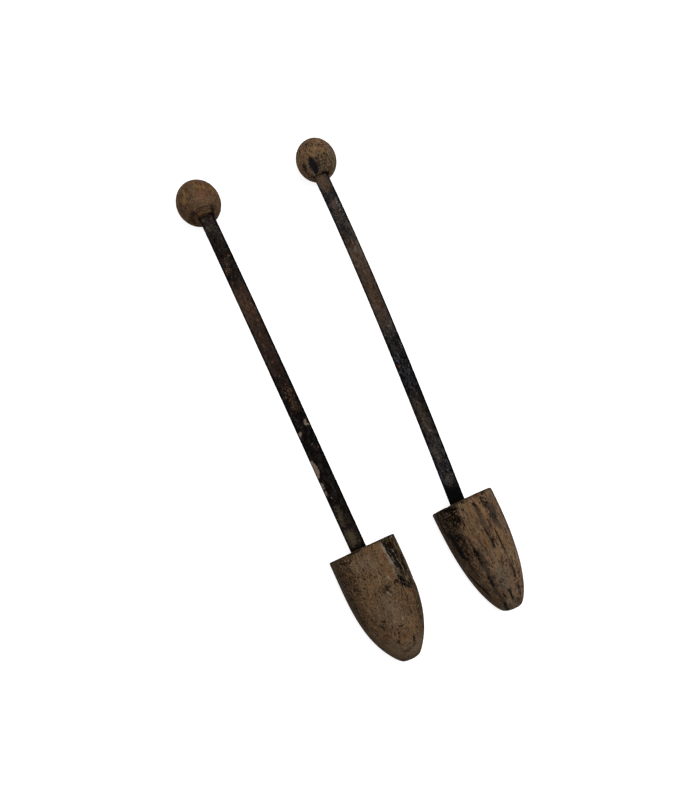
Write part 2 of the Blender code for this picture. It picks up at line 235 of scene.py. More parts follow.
def strip_line(tree, run):
    """Height and slope at plan distances from the back face: straight lines inside the wood, and the
    cubic through both ends' heights and slopes between them."""
    start = math.tan(tree.rise_at_block)
    end = -math.tan(tree.rise_at_knob)
    centre = math.hypot(tree.knob_radius * math.cos(tree.rise_at_knob),
                        tree.knob_half_length * math.sin(tree.rise_at_knob))
    end_height = centre + knob_entry(tree) * math.sin(tree.rise_at_knob)
    length = tree.strip_length
    way = np.clip(run / length, 0, 1)
    drop = end_height - ENTRY_HEIGHT
    height = (ENTRY_HEIGHT + drop * way**2 * (3 - 2 * way)
              + start * length * way * (1 - way) ** 2 - end * length * way**2 * (1 - way))
    slope = (6 * drop * way * (1 - way) / length
             + start * (1 - way) * (1 - 3 * way) + end * way * (3 * way - 2))
    height = height + np.minimum(run, 0) * start + np.maximum(run - length, 0) * end
    return height, slope


def strip_place(tree, run, across, up, along=0.0):
    """A point that is so far across the strip, along it and out of its upper face, from the middle
    line at a plan distance from the back face."""
    run, across, up, along = np.broadcast_arrays(*np.atleast_1d(run, across, up, along))
    height, slope = strip_line(tree, run)
    pitch = np.arctan(slope)
    forward = along * np.cos(pitch) - up * np.sin(pitch)
    x = tree.x - tree.entry_offset + run * math.sin(tree.lean)
    y = BACK_Y + run * math.cos(tree.lean)
    return np.stack([x + across * math.cos(tree.lean) + forward * math.sin(tree.lean),
                     y - across * math.sin(tree.lean) + forward * math.cos(tree.lean),
                     height + along * np.sin(pitch) + up * np.cos(pitch)], -1)


for tree in (left, right):
    tree.middle = strip_place(tree, tree.strip_length / 2, 0, 0)[0]
    print(tree.side, "strip's middle:", np.round(tree.middle, 4))

# %% [markdown]
# ## Marks with a place of their own
#
# Most wear is random, but an old tool is known by the marks that sit in one place: a streak, a knot,
# a split. We describe each one as a short path with a half width and a strength. Every vertex
# measures how far it is from the path, and the result is kept in the mesh as a named attribute that
# the material reads later. The value is one half at the mark's border, so the material can fray that
# border with its own fine noise.

# %% Painting marks onto vertices
def painted(points, marks, placed):
    """The strongest of the marks at each point. A mark is a chain of straight pieces, given in
    millimetres and carried onto the surface by the function placed. On each straight piece the
    nearest place is the foot of the perpendicular, held between the piece's ends, and the half
    width there is mixed from the ends' half widths. The mark fades in a straight line from its
    strength on the path, through half of it at the half width, to nothing at twice that."""
    total = np.zeros(points.shape[:-1])
    for path, half_width, strength in marks:
        path = placed(np.asarray(path, float) / 1000)
        if len(path) == 1:
            path = np.concatenate([path, path])
        width = np.broadcast_to(np.asarray(half_width) / 1000, len(path))
        for start, end, near, far in zip(path, path[1:], width, width[1:]):
            run = end - start
            share = np.clip(((points - start) @ run) / (run @ run + 1e-18), 0, 1)
            away = np.linalg.norm(points - (start + share[..., None] * run), axis=-1)
            fade = np.clip(1 - away / (2 * (near + (far - near) * share)), 0, 1)
            total = np.maximum(total, strength * fade)
    return total


line = np.linspace((0, 0, 0), (0.004, 0, 0), 5)
dot = ([(0, 0, 0)], 2, 1)
print("a dot of half width 2 mm, at each millimetre:", painted(line, [dot], np.array))

# %% [markdown]
# ## The toe blocks
#
# A toe block is a piece of solid wood: flat below, domed above, and narrowing to a small cut tip.
# We could carve a cube with subdivision and sculpting, but the shape follows a rule, so we write the
# rule down. Each ring is one section. Over the top it runs along a superellipse, which is a little
# fuller than an ellipse, then round two small corners and straight across the sole. The rings start
# in the middle of the tip, run over its edge and along the body, cross the back face and turn into
# the slot that holds the steel, so the block is one closed skin with a real hole in it.

# %% The block's sections
DOME_POINTS, CORNER_POINTS, SOLE_POINTS = 176, 6, 84
ARCH_STEPS = 4000
MOUTH_POWER = 8


def swell_share(swell, way):
    """The share of the full size at a share of the way from the tip to the back: it starts at the
    tip's own share and rises along one minus a power, itself taken to a power."""
    tip, first, second = swell
    return tip + (1 - tip) * (1 - (1 - way) ** first) ** (1 / second)


def superellipse(angle):
    """Across and up on an arch of half width 1 and height 1: the angle's cosine and sine, each taken
    to the power of 2 over the section's power, with the cosine's sign kept."""
    cosine, sine = np.cos(angle), np.sin(angle)
    across = np.sign(cosine) * np.abs(cosine) ** (2 / SECTION_POWER)
    return across, np.abs(sine) ** (2 / SECTION_POWER)


def even_angles(half_width, height):
    """Angles that cut the dome into pieces of equal length, found from the length so far along a
    finely divided arch."""
    fine = np.linspace(0, math.pi, ARCH_STEPS)
    across, up = superellipse(fine)
    steps = np.hypot(np.diff(half_width * across), np.diff(height * up))
    so_far = np.concatenate([[0], np.cumsum(steps)])
    return np.interp(np.linspace(0, so_far[-1], DOME_POINTS), so_far, fine)


def block_sections(tree, from_tip, inset):
    """Rows of (across, up), one row for each distance from the tip: the superellipse dome, a quarter
    circle, the straight sole and a second quarter circle."""
    way = (from_tip / BLOCK_LENGTH)[:, None]
    inset = inset[:, None]
    half = tree.width / 2 * swell_share(tree.swell, way) - inset
    top = BLOCK_HEIGHT * swell_share(TOP_SWELL, way) - inset
    widest = inset + SOLE_CORNER
    arch_x, arch_z = superellipse(even_angles(tree.width / 2, BLOCK_HEIGHT))
    turn = np.radians(90) * np.arange(1, CORNER_POINTS + 1) / CORNER_POINTS
    corner_x = half - SOLE_CORNER * (1 - np.cos(turn))
    corner_z = widest - SOLE_CORNER * np.sin(turn)
    share = np.arange(1, SOLE_POINTS + 1) / (SOLE_POINTS + 1) * 2 - 1
    sole_x = share * (half - SOLE_CORNER)
    sole_z = np.broadcast_to(inset, sole_x.shape)
    across = np.concatenate([half * arch_x, -corner_x, sole_x, corner_x[:, ::-1]], axis=1)
    up = np.concatenate([widest + (top - widest) * arch_z, corner_z, sole_z, corner_z[:, ::-1]], axis=1)
    return across, up


def slot_mouth(tree, direction):
    """The slot's outline, seen along the strip, at a direction from its middle: a superellipse of
    power 8, which is a rectangle with small round corners."""
    wide = tree.strip_width / 2 + CLEARANCE
    tall = STRIP_THICKNESS / 2 + CLEARANCE
    reach = ((np.abs(np.cos(direction)) / wide) ** MOUTH_POWER
             + (np.abs(np.sin(direction)) / tall) ** MOUTH_POWER) ** (-1 / MOUTH_POWER)
    return reach * np.cos(direction), reach * np.sin(direction)


print("the tip's share of the width:", swell_share(left.swell, 0.0), "and halfway:",
      round(swell_share(left.swell, 0.5), 2))

# %% The block's skin
EDGE_RINGS, TIP_RINGS, BODY_RINGS, BACK_RINGS, SLOT_RINGS = 6, 14, 262, 30, 22
BODY_GATHER = 1.15
SLOT_START = 0.0006
SLOT_END = np.linspace(1, 0.05, 5)[1:]


def drawn_in(ring, middle, shares):
    """Copies of a ring, each drawn in towards a middle point to a share of its size."""
    return middle + (ring - middle) * shares[:, None, None]


def block_rings(tree):
    """All rings in order, and the numbers of the first ring of the body and of the back face. Along
    the tip's and the back's edge the rings follow a quarter circle, and the body's rings stand
    closer together near the tip, because their share of the way is taken to a power."""
    quarter = np.radians(np.linspace(0, 90, EDGE_RINGS))
    share = np.linspace(0, 1, BODY_RINGS)[1:-1] ** BODY_GATHER
    body = TIP_ROUND + (BLOCK_LENGTH - TIP_ROUND - BACK_ROUND) * share
    from_tip = np.concatenate([TIP_ROUND * (1 - np.cos(quarter)), body,
                               BLOCK_LENGTH - BACK_ROUND * (1 - np.cos(quarter[::-1]))])
    inset = np.concatenate([TIP_ROUND * (1 - np.sin(quarter)), np.zeros(len(body)),
                            BACK_ROUND * (1 - np.sin(quarter[::-1]))])
    across, up = block_sections(tree, from_tip, inset)
    lean = up * math.tan(tree.back_lean) * (from_tip / BLOCK_LENGTH)[:, None]
    outer = np.stack([tree.x + across, BACK_Y + ((from_tip - BLOCK_LENGTH)[:, None] + lean), up], -1)

    tip = np.array([outer[0, :, 0].mean(), outer[0, :, 1].mean(), outer[0, :, 2].max() / 2])
    tip_face = drawn_in(outer[0], tip, np.linspace(0.03, 1, TIP_RINGS)[:-1])

    hole = strip_place(tree, 0.0, 0.0, 0.0)[0]
    direction = np.arctan2(outer[-1, :, 2] - hole[2], outer[-1, :, 0] - hole[0])
    mouth_x, mouth_z = slot_mouth(tree, direction)
    mouth = strip_place(tree, 0.0, mouth_x, mouth_z)
    mouth[:, 1] = BACK_Y + mouth[:, 2] * math.tan(tree.back_lean)
    back_face = outer[-1] + (mouth - outer[-1]) * np.linspace(0, 1, BACK_RINGS)[1:, None, None]

    runs = -np.linspace(SLOT_START, BLOCK_TANG * math.cos(tree.rise_at_block), SLOT_RINGS)
    walls = strip_place(tree, runs[:, None], mouth_x, mouth_z)
    end = drawn_in(walls[-1], walls[-1].mean(0), SLOT_END)
    rings = np.concatenate([tip_face, outer, back_face, walls, end])
    return rings, len(tip_face), len(tip_face) + len(outer)


for tree in (left, right):
    tree.block, tree.block_start, tree.block_stop = block_rings(tree)
    print(tree.side, "block: rings and points a ring:", tree.block.shape[:2])

# %% [markdown]
# ## What the years did to the blocks
#
# Both blocks are dented, stained along the grain and worn at the back edge. The left one has lost a
# long flake of wood beside its right edge: a pale broken lip with dark, fibrous wood below it. The
# right one is streaked with black. Paths are given as millimetres across the block and millimetres
# from its back face, and we lift them onto the dome before we measure distances. After the path
# come the half width, also in millimetres, and the strength. A few dark marks along the back edge
# are painted shade, not wear.

# %% Marks of the left block
BLOCK_MARKS = ("dark", "stain", "black", "speckle", "weathered", "ochre", "pits", "lip")
PIT_WIDENING = 1.25


def count_marks(tree, kinds):
    """How many marks a tree has of these kinds."""
    return sum(len(getattr(tree, kind)) for kind in kinds)


left.dark = [
    ([(-12.2, 38.8), (-11.7, 40.6), (-11.1, 42.4)], (0.3, 0.45, 0.25), 1.2),
    ([(-8.8, 43.4), (-8.2, 45), (-7.4, 47)], (0.3, 0.55, 0.3), 1.2),
    ([(-4.9, 41.2), (-6, 42.4), (-7.2, 42), (-7.6, 40.9)], (0.25, 0.5, 0.45, 0.25), 1),
    ([(0.2, 47.6), (1, 48.1), (2.2, 48.7), (3.5, 48.2)], (0.35, 0.45, 0.4, 0.25), 1.15),
    ([(-1.3, 51.6), (-0.3, 51.2)], 0.5, 0.95), ([(-2.9, 55.4), (-3.5, 56.6)], 0.6, 1.3),
    ([(6, 56.9), (5.7, 58.4), (4.8, 60)], (0.6, 0.65, 0.3), 1.3),
    ([(9.8, 52.4), (10.2, 54)], 0.4, 0.85),
    ([(11.7, 33.6), (11.5, 36), (10.8, 38.9)], (0.4, 0.35, 0.22), 1.05),
    ([(10.7, 42.4), (10.3, 44.6)], (0.5, 0.3), 1),
    ([(3.4, 25), (2.4, 26.4), (3, 27.6)], (0.8, 0.7, 0.5), 1), ([(4.8, 25.6), (5, 27)], 0.5, 0.95),
    ([(8.2, 25.8), (9.2, 24.6), (10.4, 24.6), (10.4, 25.8)], (0.5, 0.6, 0.6, 0.5), 1.15),
    ([(-15.9, 2.6), (-15.4, 3.7)], 0.48, 1.15), ([(-14.2, 3.8), (-13.7, 4.6)], 0.48, 1.15),
    ([(-12.3, 4.2), (-11.9, 4.9)], 0.4, 1.1), ([(-10.6, 4.9), (-9.4, 4.1)], 0.48, 1.2),
    # These three marks along the back edge are painted shade: the strip's shadow beside its entry and a
    # thin shaded line over the whole edge, with some dirt in it
    ([(-9.6, 0.3), (-2.9, 0.8)], 0.8, 1.1), ([(2.8, 0.4), (11.1, 0.6)], 0.5, 1.1),
    ([(-21, 0.1), (21, 0.1)], 0.62, 1.25),
    ([(-12, 7.6), (-11.5, 10), (-10.8, 13.4)], (0.3, 0.4, 0.3), 1),
    ([(-8, 23), (-8.2, 26.5)], 0.28, 0.8)]
# Short pores: where each one starts, and its half width
left.dark += [([(x, y), (x + 0.2, y + 0.5)], w, 1.1) for x, y, w in (
    (-6.6, 16.3, 0.45), (-4.6, 15.6, 0.35), (-0.8, 17.5, 0.45), (3, 17.6, 0.4), (-1.6, 9.8, 0.35),
    (-5, 11.4, 0.4), (-8.9, 20.8, 0.45), (-11.8, 25.8, 0.55), (-16.3, 15.5, 0.6), (-14.6, 43, 0.45),
    (-13, 20.4, 0.4), (-9.4, 14, 0.35), (-2.6, 3.4, 0.35), (-7, 6.4, 0.35), (5.6, 13, 0.35),
    (-13.6, 12.4, 0.4), (-10, 33, 0.35), (1.4, 33.6, 0.3))]
left.stain = [
    ([(-20.8, 2), (-20.2, 14), (-19.4, 26), (-18.6, 35), (-16.6, 44)], (2, 1.9, 1.8, 1.7, 1.2), 0.95),
    ([(-17.6, 29), (-17.9, 37)], (0.9, 1.3), 1), ([(-18.4, 22.6), (-18.4, 24.6)], 1, 0.95),
    ([(-17.4, 4), (-16.8, 11), (-15.8, 18)], 1.2, 0.52),
    ([(18.9, 24), (18.6, 32), (17.4, 42)], 1.2, 0.6), ([(-2, 62.6), (4.4, 61.4)], (1, 0.7), 0.75),
    ([(-6, 66.6), (6, 66.6)], 2.4, 0.72), ([(3.6, 26.2)], 2.6, 0.75), ([(9.3, 25.2)], 1.9, 0.9),
    ([(-20, 1), (-9, 1.6)], 1.3, 0.62)]
left.speckle = [
    ([(-18.4, 6), (-17.6, 26), (-16.4, 40)], 2.6, 0.6), ([(-14.6, 4), (-13, 20)], 2.6, 0.42),
    ([(16.6, 34), (14, 50)], 1.6, 0.42)]
left.black = [([(14, 27), (14.8, 29.4), (16, 31.2)], (1.8, 1.6, 1.1), 0.5)]
left.speckle += [
    ([(12.8, 24.6), (14.4, 28), (16.2, 31.4)], (1.8, 2.4, 1.6), 0.95),
    ([(14.6, 3), (15.6, 14), (16.4, 22)], 1.6, 0.66)]
# The dark holes of the broken place: from, to, and the half width before they are widened
left.pits = [([(x, y), (to_x, to_y)], w * PIT_WIDENING, 1.25) for x, y, to_x, to_y, w in (
    (13.6, 3, 13.8, 7, 0.65), (14.9, 4.6, 15.3, 7.2, 0.5), (15, 8.4, 15.6, 12, 0.75),
    (16.9, 7.6, 17.4, 11.4, 0.55), (15.7, 13.6, 16.2, 19.4, 0.85), (17.8, 14.6, 18.2, 17.4, 0.45),
    (19.6, 11.6, 20.2, 15.6, 0.7), (18.4, 17.8, 19, 21.2, 0.6), (14.3, 15.6, 14.6, 18.4, 0.4),
    (13.3, 9.4, 13.6, 11.4, 0.35), (19.8, 5.6, 20.2, 8.4, 0.5), (18.6, 2.4, 18.9, 4.4, 0.4),
    (12.5, 22.8, 13, 25.4, 0.4), (14, 24.4, 14.6, 27.4, 0.5), (15.7, 23, 16, 25.4, 0.4),
    (13.3, 28.2, 13.9, 29.4, 0.4), (15.2, 30.6, 15.8, 31.6, 0.35), (16.1, 27.2, 16.6, 29.6, 0.45),
    (17.6, 24.4, 18, 27, 0.4), (11.9, 26.6, 12.5, 28.2, 0.35), (16.6, 4, 16.9, 6, 0.35),
    (18.3, 8.6, 18.6, 10.8, 0.35), (17.2, 20.6, 17.5, 22.6, 0.4), (14.9, 20.4, 15.2, 22.4, 0.35))]
left.weathered = [
    ([(-18.6, 6), (-18.3, 25), (-18, 34.8), (-16.4, 41), (-12.4, 52)], 2.2, 0.46),
    ([(-9, 58), (0, 65), (7, 62)], 4.2, 0.85), ([(6.4, 60), (4.4, 61.8), (1, 62.6)], 0.4, 1.2),
    ([(-3.6, 8.2), (0, 10)], 3.6, 0.75), ([(1.8, 12), (4, 9)], 0.25, 1.1), ([(0, 36), (1, 42)], 5, 0.7),
    ([(14, 12), (13.4, 22), (14.4, 29)], 2.2, 0.95), ([(5.4, 17.4)], 0.3, 1.1), ([(-9, 7.7)], 3, 0.5)]
left.ochre = [
    ([(7.2, 3), (8.2, 12), (8.6, 19)], 1.6, 0.75), ([(5.4, 17.9), (8.4, 21), (8.8, 24)], 1.8, 0.72),
    ([(12.5, 32), (13.6, 35)], 1.4, 0.8), ([(3.6, 32.7)], 2.2, 0.55), ([(-1, 2.5), (3, 3)], 1.2, 0.5),
    ([(6, 50)], 2.6, 0.5), ([(-6, 21), (-2, 23)], 2.2, 0.6), ([(19.2, 3), (19.4, 9)], 1.6, 0.9)]
# The broken lip: where it lies across the block, at distances from the back face
LIP_FROM_BACK = (0, 4, 9, 15, 20, 25, 29.5, 32.7, 35)
LIP_ACROSS = (10.3, 10.2, 10.4, 10.2, 10.4, 11.2, 12.4, 16.2, 20)
left.lip = [
    ([(10.9, 3.6), (11, 6), (11.6, 8.6)], (0.6, 0.9, 0.8), 1.3),
    ([(11.6, 8.4), (12.2, 12), (12.5, 14.6)], (0.8, 1, 0.7), 1),
    ([(11, 2), (11.2, 14), (11.4, 20), (12.2, 24)], (0.7, 0.9, 0.6, 0.3), 0.72),
    ([(16, 8), (16.2, 9.2)], 0.45, 1.2), ([(16.9, 14.6), (17.2, 19)], 0.32, 0.95),
    ([(18.8, 0.8), (19.2, 1.8)], 0.36, 1), ([(14.4, 9.6), (14.6, 12)], 0.26, 0.9),
    ([(2.4, 28.3), (2.8, 29.1)], 0.36, 2.4), ([(3.1, 29.4), (3.6, 30.2)], 0.32, 2.4),
    ([(6.4, 20.8), (6.5, 21.4)], 0.34, 2.2), ([(4.2, 45)], 0.4, 1.6), ([(-0.5, 44.6)], 0.35, 1.5)]
print("marks on the left block:", count_marks(left, BLOCK_MARKS))

# %% Marks of the right block
right.dark = [
    ([(6.1, 21.6), (6.3, 28), (6.2, 33), (6.6, 38.6)], (0.35, 0.5, 0.42, 0.2), 1.25),
    ([(6.3, 2.6), (6.6, 5)], 0.4, 1.1), ([(7.3, 5.4), (8, 6.4)], 0.4, 1.1),
    ([(8.9, 6.2), (8.6, 7.4)], 0.35, 1), ([(0.9, 4.2), (1.6, 5.6)], 0.6, 1.3),
    ([(2.1, 6), (2.1, 9.4)], 0.32, 1), ([(0.6, 20), (0.8, 24)], 0.4, 1.1),
    ([(1.9, 26.6), (1.4, 31)], (0.6, 0.4), 1.3),
    ([(6.4, 45), (6.9, 47.6), (5.6, 51.6)], (0.4, 0.6, 0.3), 1.1),
    ([(-0.9, 56.8), (-0.4, 58.4), (-0.4, 62.6)], (0.5, 0.4, 0.3), 1.2),
    ([(0.2, 56.8), (1, 56.6)], 0.35, 1), ([(8, 58.2), (8.2, 59.2)], 0.55, 1.1),
    ([(-4.6, 57), (-4.2, 59.8)], 0.35, 1), ([(5.4, 57), (5.8, 58.4)], 0.6, 1.1),
    ([(5.2, 61), (4.6, 62.6)], 0.4, 1), ([(2.2, 63), (3, 64.4)], 0.4, 1),
    ([(-16.8, 0.8), (-16.6, 6)], (0.5, 0.4), 1.2), ([(-13.6, 1.4), (-11, 2.2), (-9, 2.2)], 0.5, 1.2),
    ([(-12.6, 4.8), (-9.4, 4.2)], 0.45, 1.1), ([(-14.2, 7.4), (-12.4, 8.6), (-10.2, 7.6)], 0.5, 1.15),
    # The second mark on the next line runs along the whole back edge: painted shade
    ([(-13.6, 10.2), (-13, 12.4)], 0.4, 1), ([(-20, 0.1), (20, 0.1)], 0.3, 0.7),
    ([(-6.4, 46.2), (-5.6, 47.6)], 0.35, 1), ([(-4, 50), (-3.6, 51.2)], 0.35, 0.9),
    ([(3, 8.4), (3.1, 12)], 0.25, 0.9), ([(4.6, 15.4), (4.6, 19.4)], 0.28, 0.9),
    ([(-1.2, 12), (-1.2, 15)], 0.22, 0.9), ([(8.4, 40), (8, 43.4)], 0.3, 0.85)]
right.dark += [([(x, y), (x + 0.1, y + 0.6)], w, 1.15) for x, y, w in (
    (-4.9, 0.5, 0.55), (-4.1, 1, 0.4), (-6.3, 4.4, 0.45), (-7.4, 9, 0.35), (-10, 14.6, 0.4),
    (-12, 17.6, 0.45), (-13.8, 22.8, 0.4), (-11.4, 26.8, 0.4), (-11.6, 29.6, 0.35), (4.6, 5, 0.3),
    (-3.4, 20.8, 0.3), (-2.6, 32.6, 0.35), (3.2, 43.4, 0.35), (9.2, 50, 0.4), (4.6, 53, 0.4),
    (-6.6, 41, 0.3), (11, 33, 0.35), (12.6, 27, 0.3))]
right.stain = [
    ([(-8.6, 31), (-8.4, 36), (-8.3, 43), (-7.9, 50), (-7.4, 57)], (1.4, 1.6, 1.1, 1, 0.7), 1.5),
    ([(1.2, 4.2), (1.2, 11), (1, 17.6)], (0.7, 0.8, 0.6), 1.35),
    ([(1.2, 19), (1.4, 25), (1.2, 31.2)], (0.7, 0.8, 0.55), 1.5),
    ([(9, 8.6), (9.3, 13), (9.4, 18)], (2.2, 2.8, 2.4), 1.2),
    ([(9.8, 18.6), (10, 24)], (1.6, 0.5), 1.2), ([(8.4, 1), (9, 7)], 2.2, 0.62),
    ([(6.6, 2), (6.9, 8)], (0.5, 0.9), 1.15), ([(-7, 57), (-5.6, 63), (-4.4, 68.6)], (1, 0.9, 1), 1.4),
    ([(-0.6, 56.6), (-0.3, 62.6)], (0.8, 0.6), 1.25), ([(6.2, 44.6), (5.8, 52)], (0.7, 0.9), 1.1),
    ([(5.8, 55.6), (5, 62.6)], (1.2, 1), 1.15), ([(2, 64.8), (4.6, 67.2)], 1.8, 0.95),
    ([(-13.2, 11), (-12.6, 20), (-12.4, 29)], (2.8, 3, 2.2), 0.56),
    ([(-16, 1), (-14.6, 10)], 4.2, 0.44), ([(-16.8, 12), (-16, 30)], 2.6, 0.56),
    ([(17.8, 6), (17.6, 20), (16.8, 32)], 1.3, 0.7), ([(-2.8, 47), (-2.2, 53)], 1.6, 0.42),
    ([(13.4, 2), (13.6, 9)], 1, 0.5), ([(-15, 32), (-13.4, 41)], 1.6, 0.5),
    ([(9.9, 46), (8.8, 60)], 0.9, 0.6)]
right.black = [
    ([(-18.8, 1), (-18.6, 8), (-18.3, 16)], (1.4, 1.3, 1.6), 0.95),
    ([(-14.8, 1.2), (-12.4, 3), (-9.2, 3)], (1.3, 1.5, 1.1), 0.95),
    ([(-14.2, 5.4), (-12, 8), (-10, 9)], (1.3, 1.7, 1.1), 0.9),
    ([(-13.6, 10), (-12.6, 12.6)], (1.4, 1), 0.85),
    ([(-17.2, 15), (-16.8, 22), (-16.2, 28), (-15, 31.4)], (1.5, 2.2, 1.8, 0.8), 1.45),
    ([(-14.4, 16.6), (-13.6, 19.6)], 1.2, 0.95), ([(-12.6, 21.6), (-12.2, 25)], 1, 0.7),
    ([(-16.4, 40.6), (-14.9, 46), (-12.9, 51), (-11.1, 56)], (0.8, 1.2, 1.1, 0.6), 1.4),
    ([(-9.8, 24.4), (-9.9, 28), (-9.4, 31.4)], (0.35, 0.7, 1.1), 1.15),
    ([(-9.3, 32), (-9, 37.6)], 0.6, 0.85), ([(-8.6, 45.6), (-7.9, 51)], 0.8, 0.9),
    ([(-5.4, 63), (-4.4, 68.8)], (0.6, 0.9), 1.25)]
right.speckle = [
    ([(-16.8, 0.5), (-15.8, 12)], 4.4, 0.74), ([(-12.4, 1), (-11, 9.5)], 3, 0.84),
    ([(-15.6, 12), (-14.4, 30)], 3.2, 0.72), ([(-14.6, 30), (-12.6, 42)], 2.2, 0.5),
    ([(16.6, 4), (16.2, 26)], 2, 0.4), ([(7.6, 1), (9.2, 16)], 2.6, 0.34)]
right.pits = []
right.lip = []
right.weathered = [
    ([(18.6, 8), (18.3, 22), (17.2, 33.9), (13.8, 45)], 1.9, 0.7), ([(-2, 46), (-1.2, 54)], 3.4, 0.95),
    ([(1.2, 31.8)], 0.5, 1.7), ([(1.6, 45), (2.4, 47)], 1.6, 0.8), ([(-3, 64), (1, 66)], 2.4, 0.7),
    ([(5.4, 34)], 0.4, 1)]
right.ochre = [
    ([(1.5, 14), (-4.8, 12.1), (-6.5, 20)], 2.2, 0.62), ([(-2.4, 21.7), (-1.5, 28)], 2.2, 0.62),
    ([(2.6, 32.6), (1, 36.6)], 1.2, 0.9), ([(7.8, 24.6), (8.6, 33)], 1.7, 0.95),
    ([(4.2, 1), (4.4, 15)], 1.2, 0.85), ([(-2.4, 4), (-1, 9)], 1.8, 0.8)]
print("marks on the right block:", count_marks(right, BLOCK_MARKS))

# %% [markdown]
# ## Wearing the blocks down
#
# A mark is more than a colour: a dent is hollow, a worn edge is round, and where the flake broke off
# the wood is gone. So we add up how deep each kind of wear goes at each point, and move the point
# inwards by that much, square to the skin. Wear may only ever take wood away, which also keeps
# the block inside its solid. The rings nearest to the slot stay where they are, so that the steel
# still fits.

# %% Places on the block
def on_dome(tree, path):
    """Lifts places across the block and from its back onto the dome: the superellipse's equation
    gives the height at each place."""
    across, from_back = path.T
    way = np.clip(1 - from_back / BLOCK_LENGTH, 1e-6, 1)
    half = tree.width / 2 * swell_share(tree.swell, way)
    top = BLOCK_HEIGHT * swell_share(TOP_SWELL, way)
    share = np.clip(np.abs(across) / half, 0, 0.999) ** (SECTION_POWER / 2)
    up = SOLE_CORNER + (top - SOLE_CORNER) * np.sqrt(1 - share**2) ** (2 / SECTION_POWER)
    return np.stack([tree.x + across, BACK_Y - from_back, up], -1)


def painted_side_shade_share(tree, base):
    """Rises from 0 on the top to 1 on the sides, where the wood is given painted shade. It is weaker
    towards the tip on the left side, and towards the back on the right side."""
    across = base[..., 0] - tree.x
    sideways = across / (np.abs(across).max(axis=1, keepdims=True) + 1e-9)
    along = np.clip((BACK_Y - base[..., 1]) / BLOCK_LENGTH, 0, 1)
    fading = np.where(sideways < 0, 1.0 - 0.55 * along, 0.70 + 0.55 * along)
    return soft_step(np.abs(sideways), 0.72, 1.0) * fading


halfway = on_dome(left, np.array([[0.0, BLOCK_LENGTH / 2]]))
print("the left block's top, halfway:", np.round(1000 * halfway, 1), "mm")

# %% The broken flake
LIP_WANDER, LIP_CELL = 0.0005, (0.0012, 0.0022, 0.0012)
LIP_SLOPE = 0.0016
FLAKE_END = (0.029, 0.034)
FLAKE_DEPTH, FLAKE_FIBRE, FLAKE_HOLE = 0.0005, 0.0009, 0.0005
FLAKE_CELL = (0.0007, 0.0032, 0.0007)
FLAKE_SIDE = (0.0175, 0.0205)


def broken_flake(tree, base, pits, dome, seed):
    """How far each point belongs to the broken place, and how deep it lies there. The place starts
    beyond the lip's line, which wanders with a noise, and ends at a distance from the back. Its
    depth is an even part, a noise of fibres and the painted holes, and is less near the side."""
    across, from_back = base[..., 0] - tree.x, BACK_Y - base[..., 1]
    lip = np.interp(from_back * 1000, LIP_FROM_BACK, LIP_ACROSS) / 1000
    beyond = across - lip - LIP_WANDER * (lattice_noise(base, LIP_CELL, seed) - 0.5)
    torn = soft_step(beyond, 0.0, LIP_SLOPE) * (1 - soft_step(from_back, *FLAKE_END)) * dome
    fibres = lattice_noise(base, FLAKE_CELL, seed + 1)
    side = 1 - 0.55 * soft_step(across, *FLAKE_SIDE)
    holes = FLAKE_HOLE * soft_step(pits, 0.3, 0.9)
    return torn, torn * side * (FLAKE_DEPTH + FLAKE_FIBRE * fibres + holes)


print("the flake is", LIP_FROM_BACK[-1], "mm long")

# %% The worn blocks
# The depth of each kind of wear and, where it comes in patches, the patches' size, in metres
UNEVEN_DEPTH, UNEVEN_CELL = 0.00012, (0.011, 0.016, 0.011)
GRAIN_DEPTH, GRAIN_CELL = 0.00007, (0.0009, 0.0070, 0.0009)
DENT_DEPTH, DENT_CELL = 0.00018, (0.0015, 0.0030, 0.0015)
EDGE_DEPTH, EDGE_CELL, EDGE_REACH = 0.00045, 0.003, 0.0011
STREAK_DEPTH, HOLE_DEPTH = 0.00016, 0.0004
SEAT_DEPTH, SEAT_RIM, SEAT_STAIN = 0.00125, (0.0024, 0.0027), (0.0026, 0.0042)
BLOCK_SEED = 10


